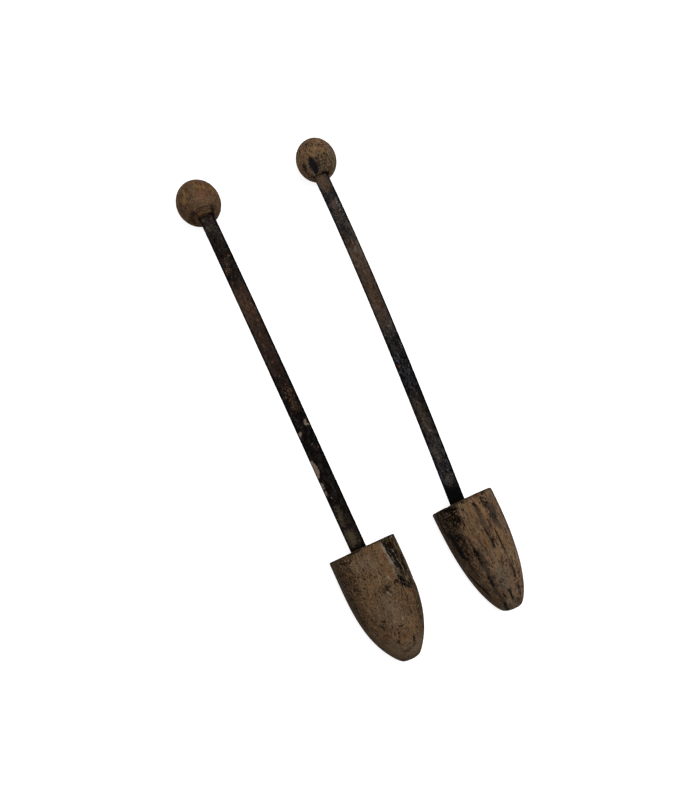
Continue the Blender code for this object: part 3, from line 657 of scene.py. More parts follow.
def worn_block(tree):
    """Moves the smooth skin inwards by a depth: broad unevenness, grain, dents, the worn back edge,
    the nail heads' seats and, where there is one, the flake that broke away."""
    base = tree.block
    rows, around = base.shape[:2]
    ring, place = np.meshgrid(np.arange(rows), np.arange(around), indexing="ij")
    body = ((ring >= tree.block_start) & (ring < tree.block_stop)).astype(float)
    dome = body * (place < DOME_POINTS)
    sole = body * (place >= DOME_POINTS + CORNER_POINTS) * (place < around - CORNER_POINTS)
    near_slot = tree.block_stop + BACK_RINGS - 4
    skin = (ring < near_slot).astype(float)
    seed = BLOCK_SEED + tree.seed
    marks = {kind: painted(base, getattr(tree, kind), lambda path: on_dome(tree, path)) * dome
             for kind in BLOCK_MARKS}

    depth = UNEVEN_DEPTH * lattice_noise(base, UNEVEN_CELL, seed) * skin
    depth += GRAIN_DEPTH * lattice_noise(base, GRAIN_CELL, seed + 1) * skin
    dents = soft_step(lattice_noise(base, DENT_CELL, seed + 2), 0.80, 0.95)
    depth += DENT_DEPTH * dents * dome
    # The rim darkens the back face and the top beside it, partly the end grain's own dark and partly
    # painted shade, and it also guides the worn edge
    marks["rim"] = np.exp(-np.abs(BACK_Y - base[..., 1]) / EDGE_REACH) * skin
    crumbled = soft_step(lattice_noise(base, EDGE_CELL, seed + 3), 0.35, 0.9)
    depth += EDGE_DEPTH * marks["rim"] * crumbled
    depth += (STREAK_DEPTH * soft_step(marks["dark"], 0.4, 0.9)
              + HOLE_DEPTH * soft_step(marks["pits"], 0.3, 0.9))
    if tree.pits:
        marks["torn"], flake_depth = broken_flake(tree, base, marks["pits"], dome, seed + 4)
        depth += flake_depth
    for run in NAIL_RUNS:
        seat = strip_place(tree, run, 0, 0)[0]
        away = np.hypot(base[..., 0] - seat[0], base[..., 1] - seat[1])
        depth += SEAT_DEPTH * (1 - soft_step(away, *SEAT_RIM)) * sole
        marks["dark"] = np.maximum(marks["dark"], 1.2 * (1 - soft_step(away, *SEAT_STAIN)) * sole)
    # Painted shade: the back face round the mouth and the slot's walls are made black
    marks["dark"] = np.maximum(marks["dark"], ring > near_slot)
    # Painted shade: the block grows darker down its sides
    marks["painted_side_shade"] = painted_side_shade_share(tree, base) * dome
    obj = object_from_rings(tree.side + "_block", base - outward(base) * depth[..., None], marks)
    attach(obj, tree.side + "_toe")
    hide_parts(tree.side + "_toe_block")
    print("deepest wear:", round(1000 * float(depth.max()), 2), "mm")
    return obj


for tree in (left, right):
    tree.block_object = worn_block(tree)

# %% [markdown]
# ## The heel knobs
#
# A knob is turned on a lathe: an egg a little longer than it is wide, with a small flat where the
# steel goes in. A UV sphere would be quick, but it has no mouth for the slot. So we let rings of
# latitude run from the far pole almost to the flat, and from there each ring changes from a circle
# into the slot's outline while its points stay on the egg. Then the rings turn into the wood.

# %% The knob's skin
KNOB_POINTS = 256
EGG_RINGS, FRONT_RINGS, KNOB_SLOT_RINGS = 150, 60, 24
POLE_ANGLE = 0.008
FRONT_SHARE = 0.70
MOUTH_CELL, MOUTH_FADE = 0.0011, 0.0018


def egg_depth(tree, radius):
    """How far the egg's front lies before its middle at a distance from the axis: the ellipse's
    equation, cut off by the small flat."""
    share = np.clip(radius / tree.knob_radius, 0, 1)
    return np.minimum(tree.knob_half_length * np.sqrt(1 - share**2), knob_entry(tree))


def in_knob(tree, across, up, along):
    """Carries points from the knob's own axes to where the knob sits at the end of its strip."""
    run = tree.strip_length + knob_entry(tree) * math.cos(tree.rise_at_knob)
    return strip_place(tree, run, across + tree.knob_offset, up, along)


def knob_rings(tree):
    """Rings of (across, up, along) in the knob's own axes, and the number of the slot's first ring.
    The mouth's upper side is torn open by a noise, which fades exponentially into the slot."""
    around = np.linspace(0, 2 * math.pi, KNOB_POINTS, endpoint=False)
    latitude = np.linspace(POLE_ANGLE, math.pi - math.asin(FRONT_SHARE), EGG_RINGS)[:, None]
    radius = tree.knob_radius * np.sin(latitude)
    egg = np.stack(np.broadcast_arrays(radius * np.cos(around), radius * np.sin(around),
                                       tree.knob_half_length * np.cos(latitude)), -1)
    edge = egg[-1]
    mouth_x, mouth_z = slot_mouth(tree, np.arctan2(edge[:, 1], edge[:, 0] + tree.knob_offset))
    upper = soft_step(mouth_z, 0.0002, 0.0009)
    torn = lattice_noise(np.stack([mouth_x, mouth_x * 0, mouth_x * 0], -1), MOUTH_CELL, tree.mouth_seed)
    wide_z = mouth_z + upper * (tree.mouth_gap * (0.55 + 0.9 * torn))
    wall_x = mouth_x - tree.knob_offset
    share = np.linspace(0, 1, FRONT_RINGS)[1:, None]
    across = edge[:, 0] + (wall_x - edge[:, 0]) * share
    up = edge[:, 1] + (wide_z - edge[:, 1]) * share
    front = np.stack([across, up, -egg_depth(tree, np.hypot(across, up))], -1)
    depth = np.linspace(0.0004, KNOB_TANG, KNOB_SLOT_RINGS)[:, None]
    wall_z = mouth_z + (wide_z - mouth_z) * np.exp(-depth / MOUTH_FADE)
    walls = np.stack(np.broadcast_arrays(wall_x, wall_z, depth - knob_entry(tree)), -1)
    end = drawn_in(walls[-1], walls[-1].mean(0), SLOT_END)
    return np.concatenate([egg, front, walls, end]), len(egg) + len(front)


left.mouth_gap, left.mouth_seed = 0.0009, 30
right.mouth_gap, right.mouth_seed = 0.0006, 31
for tree in (left, right):
    tree.knob, tree.knob_slot = knob_rings(tree)
    print(tree.side, "knob: rings and points a ring:", tree.knob.shape[:2])

# %% Marks of the knobs
# Millimetres right, back and up from the middle of each knob's box
KNOB_MARKS = ("knob_dark", "knob_stain", "knob_black", "knob_weathered", "knob_ochre", "knob_gouge")
left.knob_dark = [
    # The first three marks follow the mouth, above and beside the strip: painted shade in the gap
    ([(-4, -13.4, 7.1), (-2.1, -13.2, 7.4), (0.7, -13.2, 7.6), (3, -13.2, 7.3), (5.2, -13.1, 6.6)],
     (0.65, 0.42, 0.48, 0.65, 0.6), 1.5),
    ([(6, -12.3, 6.9), (5.9, -13.3, 3.2)], 1, 1.5),
    ([(-4.3, -12.8, 7.8), (-4.1, -13.8, 5.8)], 0.55, 1.1),
    ([(-4, 5.5, 13), (-4.2, 4.2, 13.4)], 0.34, 1), ([(3.7, 8, 11.8), (3.7, 6.7, 12.5)], 0.3, 0.9),
    ([(-9, -5.4, 10.6), (-9.1, -6.1, 10.3)], 0.32, 0.9),
    ([(-7.6, 2.8, 12.2), (-7.8, 1.5, 12.3)], 0.28, 0.9),
    ([(-2.3, -1.6, 14.6), (-2.2, -2.5, 14.5)], 0.26, 0.9),
    ([(6.5, -3.9, 12.9), (6.4, -4.7, 12.7)], 0.28, 0.9),
    ([(6.1, 3.2, 12.9), (6.2, 1.9, 13.1)], 0.26, 0.9)]
left.knob_black = [
    ([(-4.9, -10.4, 10.3), (-6.4, -10.9, 8.8), (-7.5, -12, 6.2), (-7.5, -13.3, 2.2)],
     (1, 1.3, 1.3, 1.2), 0.88),
    ([(-4.1, -11.4, 9.7), (-4, -12.4, 8.6)], 0.6, 0.8),
    ([(6.8, -11, 8.5), (6.5, -11.6, 7.9)], 1.1, 0.85),
    ([(-7.4, -13.5, -0.1), (-4.6, -14.7, -1.4)], 0.8, 0.9)]
left.knob_stain = [
    ([(-7.9, -6.3, 11.2), (-9.1, -7.1, 9.7)], 2.4, 0.5),
    ([(-3, -10.3, 11.1), (-0.1, -10, 11.8), (3, -10.3, 11.1), (5.2, -11.4, 9.1)], 0.5, 0.95),
    ([(-2.6, -11.7, 9.9), (0.1, -11.9, 10.1), (2.8, -12.3, 9.2)], 0.4, 0.85),
    ([(7, -10.2, 9.1), (6.9, -12, 7)], 1.5, 0.8),
    ([(-7.2, -9.3, 9.8), (-8.7, -10.4, 7.1), (-8.8, -12.1, 3.7)], 0.9, 0.75),
    ([(9.1, -9.1, 8.1), (8.7, -11.7, 5)], 1.3, 0.5),
    ([(-11.7, -1.6, 8.8), (-11.5, -6.8, 6.9)], 1.6, 0.5)]
left.knob_ochre = [
    ([(-6, 4, 12.7), (-6.3, 1.9, 13.1)], 0.55, 1.5),
    ([(-7.6, -0.3, 12.6), (-7.9, -2.3, 12.3), (-9.2, -2.7, 11.3)], (0.7, 1.2, 0.8), 1.3),
    ([(-9.4, -0.7, 11.4)], 0.7, 1), ([(1.9, 4.4, 13.8), (4.4, 3.1, 13.6), (6.5, 1.9, 13)], 1, 1),
    ([(7.4, 3.8, 12.1), (7.1, 1.4, 12.8)], 0.35, 1.1), ([(-3.9, 0.2, 14.2), (-4.1, -1, 14.1)], 0.35, 1),
    ([(-2.5, -12.3, 9.3), (-0.1, -12.6, 9.4)], 0.55, 0.8),
    ([(11, 1.7, 9.6), (11.3, 0.1, 9.4)], 1.2, 0.6)]
left.knob_weathered = [
    ([(-1.2, -5.3, 14), (1.3, -7.7, 13.1), (4.7, -8.7, 11.7)], 2.8, 0.75),
    ([(8.9, -6.4, 10.4), (8.4, -9.5, 8.6)], 2.2, 0.8), ([(9.1, -11.2, 5.2), (7, -13.6, 2.9)], 1.6, 0.9),
    ([(1.3, 3.6, 14.1), (-1.1, 2.6, 14.4)], 1.6, 0.6)]
left.knob_gouge = []
right.knob_gouge = [
    ([(-5.8, -4.1, 11.9), (-5.9, -6.1, 11.3), (-5.5, -8.6, 10.1), (-5.2, -10.9, 8.4), (-5.2, -12.5, 6.3)],
     (1.1, 2.15, 2.7, 2.4, 1.2), 1.15)]
right.knob_dark = [
    ([(-7, -5, 11.2), (-7.2, -7.2, 10.3), (-6.8, -9.6, 8.9), (-6.2, -11.6, 7)],
     (0.35, 0.5, 0.5, 0.4), 1.2),
    ([(-9.8, -9.7, 4.2), (-7.7, -12.2, 3.3), (-5.2, -13.3, 4)], 0.55, 1.15),
    ([(-9.5, -10.5, 3), (-7.3, -12.8, 0.8)], 0.28, 0.9),
    ([(-5.4, -13, 4.8), (-1, -13.6, 5), (2.3, -13.6, 3.8), (4, -13.2, 3.6)],
     (0.5, 0.55, 0.6, 0.5), 1.3)]
# The short dashes of the right knob: from, to, and the half width
right.knob_dark += [([(a, b, c), (d, e, f)], w, 1.1) for a, b, c, d, e, f, w in (
    (-3.4, 7.5, 10.9, -3.7, 5.8, 11.7, 0.42), (-4.3, 4.8, 11.9, -4.6, 3.6, 12.2, 0.38),
    (-9.1, 5.8, 8.2, -9.3, 4.2, 8.8, 0.4), (-6, 3.3, 11.7, -6.4, 1.8, 11.8, 0.3),
    (-0.2, 4.6, 12.7, -0.7, 3.1, 13.1, 0.3), (4.1, 3.3, 12.4, 4.2, 1.8, 12.7, 0.34),
    (4.8, 0.9, 12.7, 4.8, -0.4, 12.7, 0.3), (3.8, -4.2, 12.7, 4, -5.3, 12.3, 0.4),
    (5.5, -5.1, 11.8, 5, -6.9, 11.3, 0.5), (1.7, -6.2, 12.5, 1.8, -7.2, 12.1, 0.45),
    (-0.3, -4.7, 13.2, -0.1, -5.5, 12.9, 0.34), (-2.2, -5.4, 12.8, -2.3, -6.5, 12.4, 0.4),
    (-0.7, -8.4, 11.7, -0.8, -9.4, 11, 0.34), (-1.9, -10.3, 10.2, -2.1, -11.3, 9.3, 0.42),
    (3.4, -8.5, 11.1, 3.5, -9.5, 10.3, 0.34), (6.2, -9.8, 8.6, 6.5, -10.9, 7.1, 0.34),
    (8.9, -7.1, 8.1, 9.1, -8.4, 7, 0.34), (2.5, -11.6, 8.8, 3.8, -11.1, 8.7, 0.3),
    (0.2, -11.9, 8.8, 0.6, -12.8, 7.7, 0.34), (4.5, -12.1, 7.2, 4.7, -12.8, 5.8, 0.34),
    (8.4, -10.5, 5.2, 8.4, -11.3, 3.3, 0.34), (0.8, -9.1, 11.2, 0.9, -10.2, 10.5, 0.3),
    (5.9, -7.6, 10.4, 5.8, -8.7, 9.8, 0.3), (5, -13.1, 4.8, 5.5, -13.5, 2.7, 0.34),
    (2, -12.9, 7.3, 2.4, -13.3, 6.2, 0.3), (-8.9, 0.5, 10.2, -9.2, -0.5, 10, 0.28),
    (-3.9, 1, 12.9, -4.2, -0.2, 13, 0.28))]
right.knob_black = [
    ([(-10.7, -4, 7.8), (-10.5, -6.7, 6.5), (-10.3, -8.6, 4.8)], (0.7, 1.15, 0.9), 1),
    ([(-0.3, -13.1, 6.1), (2.3, -13.6, 4.6)], 0.75, 1.2),
    ([(-8.9, -11.4, 2), (-6.8, -13.1, -0.6)], 0.6, 0.85)]
right.knob_stain = [
    ([(3.7, -6.8, 11.8), (2.1, -11.9, 8.6), (-1.1, -13, 6.5)], 2.4, 0.6),
    ([(7.9, -7.5, 9), (5.7, -12.4, 5.7)], 2.2, 0.6),
    ([(-1.3, -6.9, 12.3), (-1.6, -10.4, 10.2)], 1.3, 0.75), ([(-10.8, -6, 6.6)], 2, 0.62),
    ([(-8.4, -11.7, -1.7), (-6.1, -12.9, -3.2)], 0.8, 0.75), ([(-4.3, 5.9, 11.5)], 1, 0.6),
    ([(-5.5, -13.1, 4.7), (-3.9, -12.3, 7.4)], 0.5, 0.7)]
right.knob_ochre = [
    ([(3.3, 0.2, 13.1), (3.8, -3.5, 12.8)], 1.3, 1), ([(-1.4, 0.8, 13.4), (-2, -2.1, 13.4)], 1.5, 0.85),
    ([(-6, 0.3, 12.2)], 1.3, 0.55)]
right.knob_weathered = [
    ([(9.3, -2.3, 9.7), (9.6, -7.2, 7.3), (7.8, -11.2, 5)], 1.9, 0.85),
    ([(-0.1, -10.4, 10.3), (-1.7, -12.7, 7.6)], 1.4, 0.8),
    ([(-7.6, -3.5, 11), (-8.4, -6.1, 9.5), (-7.9, -9.7, 7.3), (-6.6, -12.3, 5)], 0.42, 1.3),
    ([(0.5, -2.8, 13.5), (-0.1, -3.7, 13.4)], 1.2, 0.6)]
print("marks on the knobs:", count_marks(left, KNOB_MARKS), "and", count_marks(right, KNOB_MARKS))

# %% [markdown]
# ## Wearing the knobs down
#
# The knobs wear as the blocks do, and they keep one thing more: the fine grooves that the lathe cut
# round the entry. A groove is a ring, so its depth is a bell curve of the distance from the axis. The
# right knob also has a dark gouge, where a piece was torn out along the grain.

# %% The worn knobs
# The lathe's grooves: radius, half width and strength
left.lathe_grooves = [(0.0083, 0.00045, 0.72), (0.0069, 0.00035, 0.62), (0.0097, 0.00035, 0.42),
                      (0.0059, 0.00030, 0.50)]
right.lathe_grooves = [(0.0078, 0.00040, 0.38), (0.0064, 0.00030, 0.35)]
KNOB_UNEVEN_DEPTH, KNOB_UNEVEN_CELL = 0.00016, 0.006
KNOB_GRAIN_DEPTH, KNOB_GRAIN_CELL = 0.00006, (0.0009, 0.0009, 0.0052)
KNOB_DENT_DEPTH, KNOB_DENT_CELL = 0.00016, (0.0012, 0.0012, 0.0022)
GROOVE_DEPTH, KNOB_STREAK_DEPTH = 0.00016, 0.00012
GOUGE_DEPTH, GOUGE_FIBRE, GOUGE_CELL = 0.0010, 0.00012, (0.0004, 0.0004, 0.003)
PIN_SEAT_DEPTH, PIN_SEAT_RIM, PIN_SEAT_STAIN = 0.0011, (0.00145, 0.0017), (0.0016, 0.0027)
KNOB_SEED = 40


def turned_grooves(tree, local):
    """The strongest of the lathe's grooves at each point. A groove is its strength times e to the power
    of minus the square of how many half widths the point lies from the groove's radius."""
    radius = np.hypot(local[..., 0], local[..., 1])
    return np.max([strength * np.exp(-((radius - place) / width) ** 2)
                   for place, width, strength in tree.lathe_grooves], axis=0)


def worn_knob(tree):
    """The egg, moved inwards by turning grooves round the entry, broad unevenness, fibres that run
    along the axis, dents, the gouge and the pin head's seat."""
    local = tree.knob
    base = in_knob(tree, local[..., 0], local[..., 1], local[..., 2])
    ring = np.broadcast_to(np.arange(len(local))[:, None], local.shape[:2])
    skin = (ring < tree.knob_slot).astype(float)
    centre = np.mean([tuple(corner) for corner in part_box(tree.side + "_heel_knob")], axis=0)
    dark, stain, black, weathered, ochre, gouge = (
        painted(base, getattr(tree, kind), lambda path: centre + path) * skin for kind in KNOB_MARKS)
    groove = turned_grooves(tree, local) * (local[..., 2] < 0) * skin
    seed = KNOB_SEED + tree.seed

    depth = KNOB_UNEVEN_DEPTH * lattice_noise(base, KNOB_UNEVEN_CELL, seed) * skin
    depth += KNOB_GRAIN_DEPTH * lattice_noise(local, KNOB_GRAIN_CELL, seed + 1) * skin
    dents = soft_step(lattice_noise(local, KNOB_DENT_CELL, seed + 2), 0.78, 0.95)
    depth += KNOB_DENT_DEPTH * dents * skin
    depth += GROOVE_DEPTH * groove
    depth += KNOB_STREAK_DEPTH * soft_step(dark, 0.4, 0.9)
    depth += (GOUGE_DEPTH * soft_step(gouge, 0.25, 0.75)
              + GOUGE_FIBRE * soft_step(gouge, 0.3, 0.6) * lattice_noise(local, GOUGE_CELL, seed + 3))
    seat = np.hypot(local[..., 0] + tree.knob_offset, local[..., 2])
    below = (local[..., 1] < 0) * skin
    depth += PIN_SEAT_DEPTH * (1 - soft_step(seat, *PIN_SEAT_RIM)) * below
    dark = np.maximum(dark, 1.1 * (1 - soft_step(seat, *PIN_SEAT_STAIN)) * below)
    # Painted shade: the rim darkens the knob round the mouth, and the slot's walls are made black
    rim = np.exp(-((ring - tree.knob_slot) / 5.0) ** 2) * (ring <= tree.knob_slot)
    marks = {"dark": np.maximum(dark, ring > tree.knob_slot + 1), "stain": stain, "black": black,
             "pits": gouge, "weathered": weathered, "ochre": ochre, "rim": rim, "turning": groove}
    obj = object_from_rings(tree.side + "_knob", base - outward(base) * depth[..., None], marks)
    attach(obj, tree.side + "_knob")
    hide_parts(tree.side + "_heel_knob")
    return obj


for tree in (left, right):
    tree.knob_object = worn_knob(tree)

# %% [markdown]
# ## The spring strips
#
# The strip is one length of spring steel with slightly rounded edges, rusted and pitted all over.
# It bends when the knob is hooked up out of a shoe. We make the strip in two halves that meet in the
# middle.

# %% Marks of the strips
# Millimetres across from the block's middle line and behind its back face, on the upper face
STRIP_MARKS = ("rust", "pale", "dust")
left.rust = [([(x, y)], w, 1.2) for x, y, w in (
    (-1.2, 197.3, 0.7), (-6.7, 187.7, 0.5), (-4.3, 192.1, 0.4), (-6, 178, 0.5), (-0.9, 160.8, 0.5),
    (0.4, 156.9, 0.5), (-1.3, 149.1, 0.5), (-4.2, 140.1, 0.6), (-4.4, 133.2, 0.5), (-5.8, 126.4, 0.5),
    (-3.7, 121.5, 0.5), (-4.8, 98.5, 0.5), (-2.3, 95, 0.5), (-3.5, 91.4, 0.6), (0, 97.4, 0.4),
    (-0.6, 101.6, 0.4), (0.1, 90.3, 0.4), (0.6, 64.2, 0.5), (-2.6, 173, 0.4), (-5.2, 168, 0.4),
    (-2.8, 112, 0.4), (-1.6, 106, 0.4))]
left.pale = [
    ([(-6, 75.6), (-6, 74.4)], 0.7, 1.3),
    ([(-6.7, 57.6), (-6.2, 54.4), (-5.8, 51), (-6.5, 47.6)], (0.5, 1, 0.9, 0.4), 1.35),
    ([(-6.6, 43.4), (-6.6, 40.4)], 0.6, 1.05), ([(-6.5, 38.2), (-6.5, 36.2)], 0.55, 0.95),
    ([(-0.1, 81.8), (-0.6, 79.6), (0.6, 78.8)], 0.6, 1.15), ([(-4.6, 33.6)], 0.35, 1.1),
    ([(-2, 67)], 0.3, 1)]
left.rust += [([(-2, 103), (-2.6, 90)], 2.2, 0.4), ([(-5, 196), (-4.6, 186)], 2, 0.38)]
# Dull dust and glue, thin enough to see the steel through it
left.dust = [
    ([(-4.2, 27), (-4.4, 17)], 1.6, 0.56), ([(-3.4, 10), (-3, 5)], 2.2, 1),
    ([(-4.9, 13), (-4.9, 8)], 1, 0.6)]
right.rust = [([(x, y)], w, s) for x, y, w, s in (
    (3.2, 183.9, 0.6, 1.2), (1.7, 181.2, 0.5, 1.2), (3.4, 114.6, 0.6, 1.2), (-1.8, 88.8, 0.6, 1.2),
    (-3.2, 85.1, 0.5, 1.2), (-5, 60.9, 0.6, 1.2), (-2.2, 53.6, 0.5, 1.2), (5.7, 170.2, 0.5, 1),
    (4.9, 143, 0.5, 1.1), (0.8, 100.4, 0.5, 1), (-0.4, 74, 0.4, 1), (-4.2, 44, 0.4, 1),
    (-2.8, 30, 0.4, 0.9))]
right.rust += [([(8, 222), (7.4, 217)], 1.6, 0.62), ([(7.6, 206.6), (7.4, 204)], 1.2, 0.8)]
right.rust += [([(3.2, 142), (1.8, 128)], 1.8, 0.48), ([(8.2, 231), (8, 225)], 2.4, 0.66)]
right.pale = [
    ([(6.6, 176), (6, 168)], 0.5, 0.5), ([(9.8, 209), (9, 199)], 1, 0.52), ([(-1.2, 46)], 0.4, 0.8)]
right.dust = [
    ([(8, 232), (8, 222)], 3.2, 0.92), ([(9.9, 188), (8.4, 158)], 0.45, 0.85),
    ([(-1, 66), (-2.2, 46)], 1.8, 0.42), ([(-3.6, 34), (-3.2, 28)], 1.4, 0.55),
    ([(-3, 17), (-3.4, 12)], 1.4, 0.45), ([(6.4, 202), (5.6, 192)], 1.6, 0.5)]
# Lightness and brownness of the steel at distances from the block's back face
left.steel_runs = (
    0, 2.5, 5, 9, 14, 20, 28, 49, 67, 80, 88, 100, 107, 125, 144, 158, 172, 183, 204, 223, 232)
# The last values, near the knob, are raised: painted light where the knob shades the steel
left.steel_light = (
    0.02, 0.05, 0.22, 0.31, 0.23, 0.16, 0.07, 0.03, 0.03, 0.03, 0.05, 0.1, 0.17, 0.35, 0.41, 0.63, 0.49,
    0.16, 0.26, 0.42, 0.46)
left.steel_brown = (
    0.6, 0.7, 0.8, 0.85, 0.75, 0.6, 0.5, 0.5, 0.4, 0.35, 0.4, 0.55, 0.75, 0.95, 0.98, 0.95, 0.9, 0.5,
    0.4, 0.42, 0.5)
right.steel_runs = (
    0, 7.5, 10, 14, 28, 48, 67, 78, 95, 106, 113, 124, 143, 164, 175, 182, 204, 214, 223, 230)
right.steel_light = (
    -0.4, -0.3, 0.12, 0.34, 0.34, 0.3, 0.17, 0.16, 0.22, 0.29, 0.45, 0.54, 0.51, 0.67, 0.54, 0.38, 0.44,
    0.42, 0.46, 0.48)
right.steel_brown = (
    0.4, 0.4, 0.4, 0.25, 0.15, 0.6, 0.55, 0.05, 0.1, 0.3, 0.7, 0.9, 0.95, 0.95, 0.8, 0.45, 0.15, 0.35,
    0.6, 0.7)
print("marks on the strips:", count_marks(left, STRIP_MARKS), "and", count_marks(right, STRIP_MARKS))

# %% The strips' skin
EDGE_ROUND = 0.00068
FACE_POINTS = 40
RING_STEP = 0.00033
RUST_DEPTH, RUST_CELL = 0.00005, (0.0009, 0.0016, 0.0009)
EVEN_DEPTH, GRIT_DEPTH, GRIT_CELL = 0.00002, 0.00003, 0.0005
WAVE_DEPTH, WAVE_CELL = 0.00004, (0.02, 0.006, 0.02)
NICK_DEPTH, NICK_CELL = 0.00006, (0.01, 0.0014, 0.01)
STRIP_SEED = 60


def bar_section(tree):
    """Points of (across, up) once round a rectangle whose corners are quarter circles."""
    flat_wide = tree.strip_width / 2 - EDGE_ROUND
    half_tall = STRIP_THICKNESS / 2
    turn = np.radians(np.linspace(0, 90, 6))
    arc = np.stack([EDGE_ROUND * np.cos(turn), EDGE_ROUND * np.sin(turn)], -1)
    face = np.linspace(flat_wide, -flat_wide, FACE_POINTS)[1:-1]
    top = np.concatenate([arc + (flat_wide, half_tall - EDGE_ROUND),
                          np.stack([face, np.full_like(face, half_tall)], -1),
                          arc[::-1] * (-1, 1) + (-flat_wide, half_tall - EDGE_ROUND)])
    return np.concatenate([top, -top])


def on_strip(tree, path):
    """Lifts places across the tree's line and from the block's back onto the steel's upper face."""
    across, back = path.T
    height = strip_line(tree, back / math.cos(tree.lean))[0] + STRIP_THICKNESS / 2
    return np.stack([tree.x + across, BACK_Y + back, height], -1)


def strip_half(tree, half, first, last):
    """Carries the section along the strip's line, every third of a millimetre, and moves it inwards
    by rust pits and by a slow wave and small nicks in the edges. Inside the wood it stays smooth."""
    runs = np.linspace(first, last, int((last - first) / RING_STEP))[:, None]
    section = bar_section(tree)
    base = strip_place(tree, runs, section[:, 0], section[:, 1])
    seed = STRIP_SEED + tree.seed
    half_wide = tree.strip_width / 2
    edge = np.broadcast_to(soft_step(np.abs(section[:, 0]), half_wide - 0.0016, half_wide - 0.0002),
                           base.shape[:2])
    pits = soft_step(lattice_noise(base, RUST_CELL, seed), 0.55, 0.9)
    depth = EVEN_DEPTH + RUST_DEPTH * pits + GRIT_DEPTH * lattice_noise(base, GRIT_CELL, seed + 1)
    depth += edge * (WAVE_DEPTH * lattice_noise(base, WAVE_CELL, seed + 2)
                     + NICK_DEPTH * lattice_noise(base, NICK_CELL, seed + 3))
    length = tree.strip_length
    depth = depth * (soft_step(runs, -0.001, 0.0) * (1 - soft_step(runs, length, length + 0.001)))

    marks = {kind: painted(base, getattr(tree, kind), lambda path: on_strip(tree, path))
             for kind in STRIP_MARKS}
    along = np.broadcast_to(runs * 1000, base.shape[:2])
    marks.update(edge=edge, pits=pits, light=np.interp(along, tree.steel_runs, tree.steel_light),
                 brown=np.interp(along, tree.steel_runs, tree.steel_brown),
                 across=np.broadcast_to(section[:, 0] / tree.strip_width, base.shape[:2]))
    obj = object_from_rings(f"{tree.side}_strip_{half}", base - outward(base) * depth[..., None], marks)
    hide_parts(tree.side + "_spring_strip")
    return obj


print("points round a strip:", len(bar_section(left)))

# %% The strips in two halves
for tree in (left, right):
    block_end = -BLOCK_TANG * math.cos(tree.rise_at_block)
    knob_end = tree.strip_length + KNOB_TANG * math.cos(tree.rise_at_knob)
    centre = tree.strip_length / 2
    tree.front_half = strip_half(tree, "front", block_end, centre)
    tree.rear_half = strip_half(tree, "rear", centre, knob_end)
    at_block, at_knob = (tuple(strip_place(tree, run, 0, 0)[0]) for run in (0.0, tree.strip_length))
    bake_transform(tree.front_half)
    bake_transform(tree.rear_half)

# %% [markdown]
# ## Nails and pins
#
# Nobody sees them in a shoe, but they hold the tree together: two nails go up through each sole and
# the steel, and a pin goes through each knob. A turned piece is a profile of radius against length,
# swept round an axis, so one function makes all six.

# %% Turned nails and pins
FIXING_SIDES = 48
NAIL_SHAPE = {"radius": 0.0011, "head_radius": 0.0023, "head_thickness": 0.0008}
PIN_SHAPE = {"radius": 0.0010, "head_radius": 0.0014, "head_thickness": 0.0006}
PIN_SUNK, PIN_TIP = 0.0004, 0.0055


def turned(name, profile, foot, axis):
    """Sweeps rows of (radius, length) round an axis that starts at a foot: two unit vectors square to
    the axis carry the cosine and the sine of the angle."""
    axis = np.asarray(axis, float) / np.linalg.norm(axis)
    side = np.cross(axis, (0.0, 1.0, 0.0))
    side /= np.linalg.norm(side)
    other = np.cross(axis, side)
    radius, length = np.asarray(profile, float).T[:, :, None, None]
    angle = np.linspace(0, 2 * math.pi, FIXING_SIDES, endpoint=False)[:, None]
    rings = foot + length * axis + radius * (np.cos(angle) * side + np.sin(angle) * other)
    return object_from_rings(name, rings, {})


def headed_profile(length, radius, head_radius, head_thickness):
    """A slightly domed head with a rounded rim, a straight shank and a short blunt point, as rows of
    (radius, length)."""
    rise = np.linspace(0.05, 1, 7)
    dome = np.stack([head_radius * 0.94 * rise, 0.25 * head_thickness * rise * rise], -1)
    rim = np.array([(1, 0.45), (1, 0.75), (0.96, 1)]) * (head_radius, head_thickness)
    neck = np.array([(1.08, 1.02), (1, 1.8)]) * (radius, head_thickness)
    shank = np.array([(1, 0.5), (1, 0.88), (0.72, 0.95), (0.2, 1)]) * (radius, length)
    return np.concatenate([dome, rim, neck, shank])


fixings = []
for tree in (left, right):
    for place in ("front", "rear"):
        node = f"{tree.side}_toe_nail_{place}"
        low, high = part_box(node)
        foot = np.array([(low.x + high.x) / 2, (low.y + high.y) / 2, low.z])
        profile = headed_profile(high.z - low.z, **NAIL_SHAPE)
        nail = turned(f"{tree.side}_nail_{place}", profile, foot, (0, 0, 1))
        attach(nail, tree.side + "_toe")
        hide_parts(node)
        fixings.append(nail)
    reach = tree.knob_radius - PIN_SUNK
    foot, tip = (in_knob(tree, -tree.knob_offset, up, 0.0)[0] for up in (-reach, PIN_TIP))
    pin = turned(tree.side + "_pin", headed_profile(reach + PIN_TIP, **PIN_SHAPE), foot, tip - foot)
    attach(pin, tree.side + "_knob")
    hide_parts(tree.side + "_knob_pin")
    fixings.append(pin)
    print(tree.side, "pin goes from", np.round(1000 * foot, 1), "to", np.round(1000 * tip, 1), "mm")


# %% [markdown]
# ## Wiring a material
#
# A material is a graph of small nodes. Written out, each node takes several lines, so we make a few
# short helpers. `add` makes a node and fills its sockets, `times`, `less` and `plus` do sums, and the
# rest mix colours, spread a value out or make noise. All noise here is given by how thick and how
# long its cells are, because wood and rolled steel both run along Y.
#
# Effects that several materials share go into node groups, which put out only values. The shader
# itself, and every number that is the same all over a piece, stays in the material.

# %% Nodes and sums
def swatch(red, green, blue):
    """A colour given as 0 to 255, as on a paint card, turned into the linear values that light uses:
    the display curve undone, c/12.92 below 0.04045 and ((c + 0.055)/1.055)^2.4 above it."""
    share = np.array([red, green, blue]) / 255
    linear = np.where(share <= 0.04045, share / 12.92, ((share + 0.055) / 1.055) ** 2.4)
    return (*(float(value) for value in linear), 1.0)


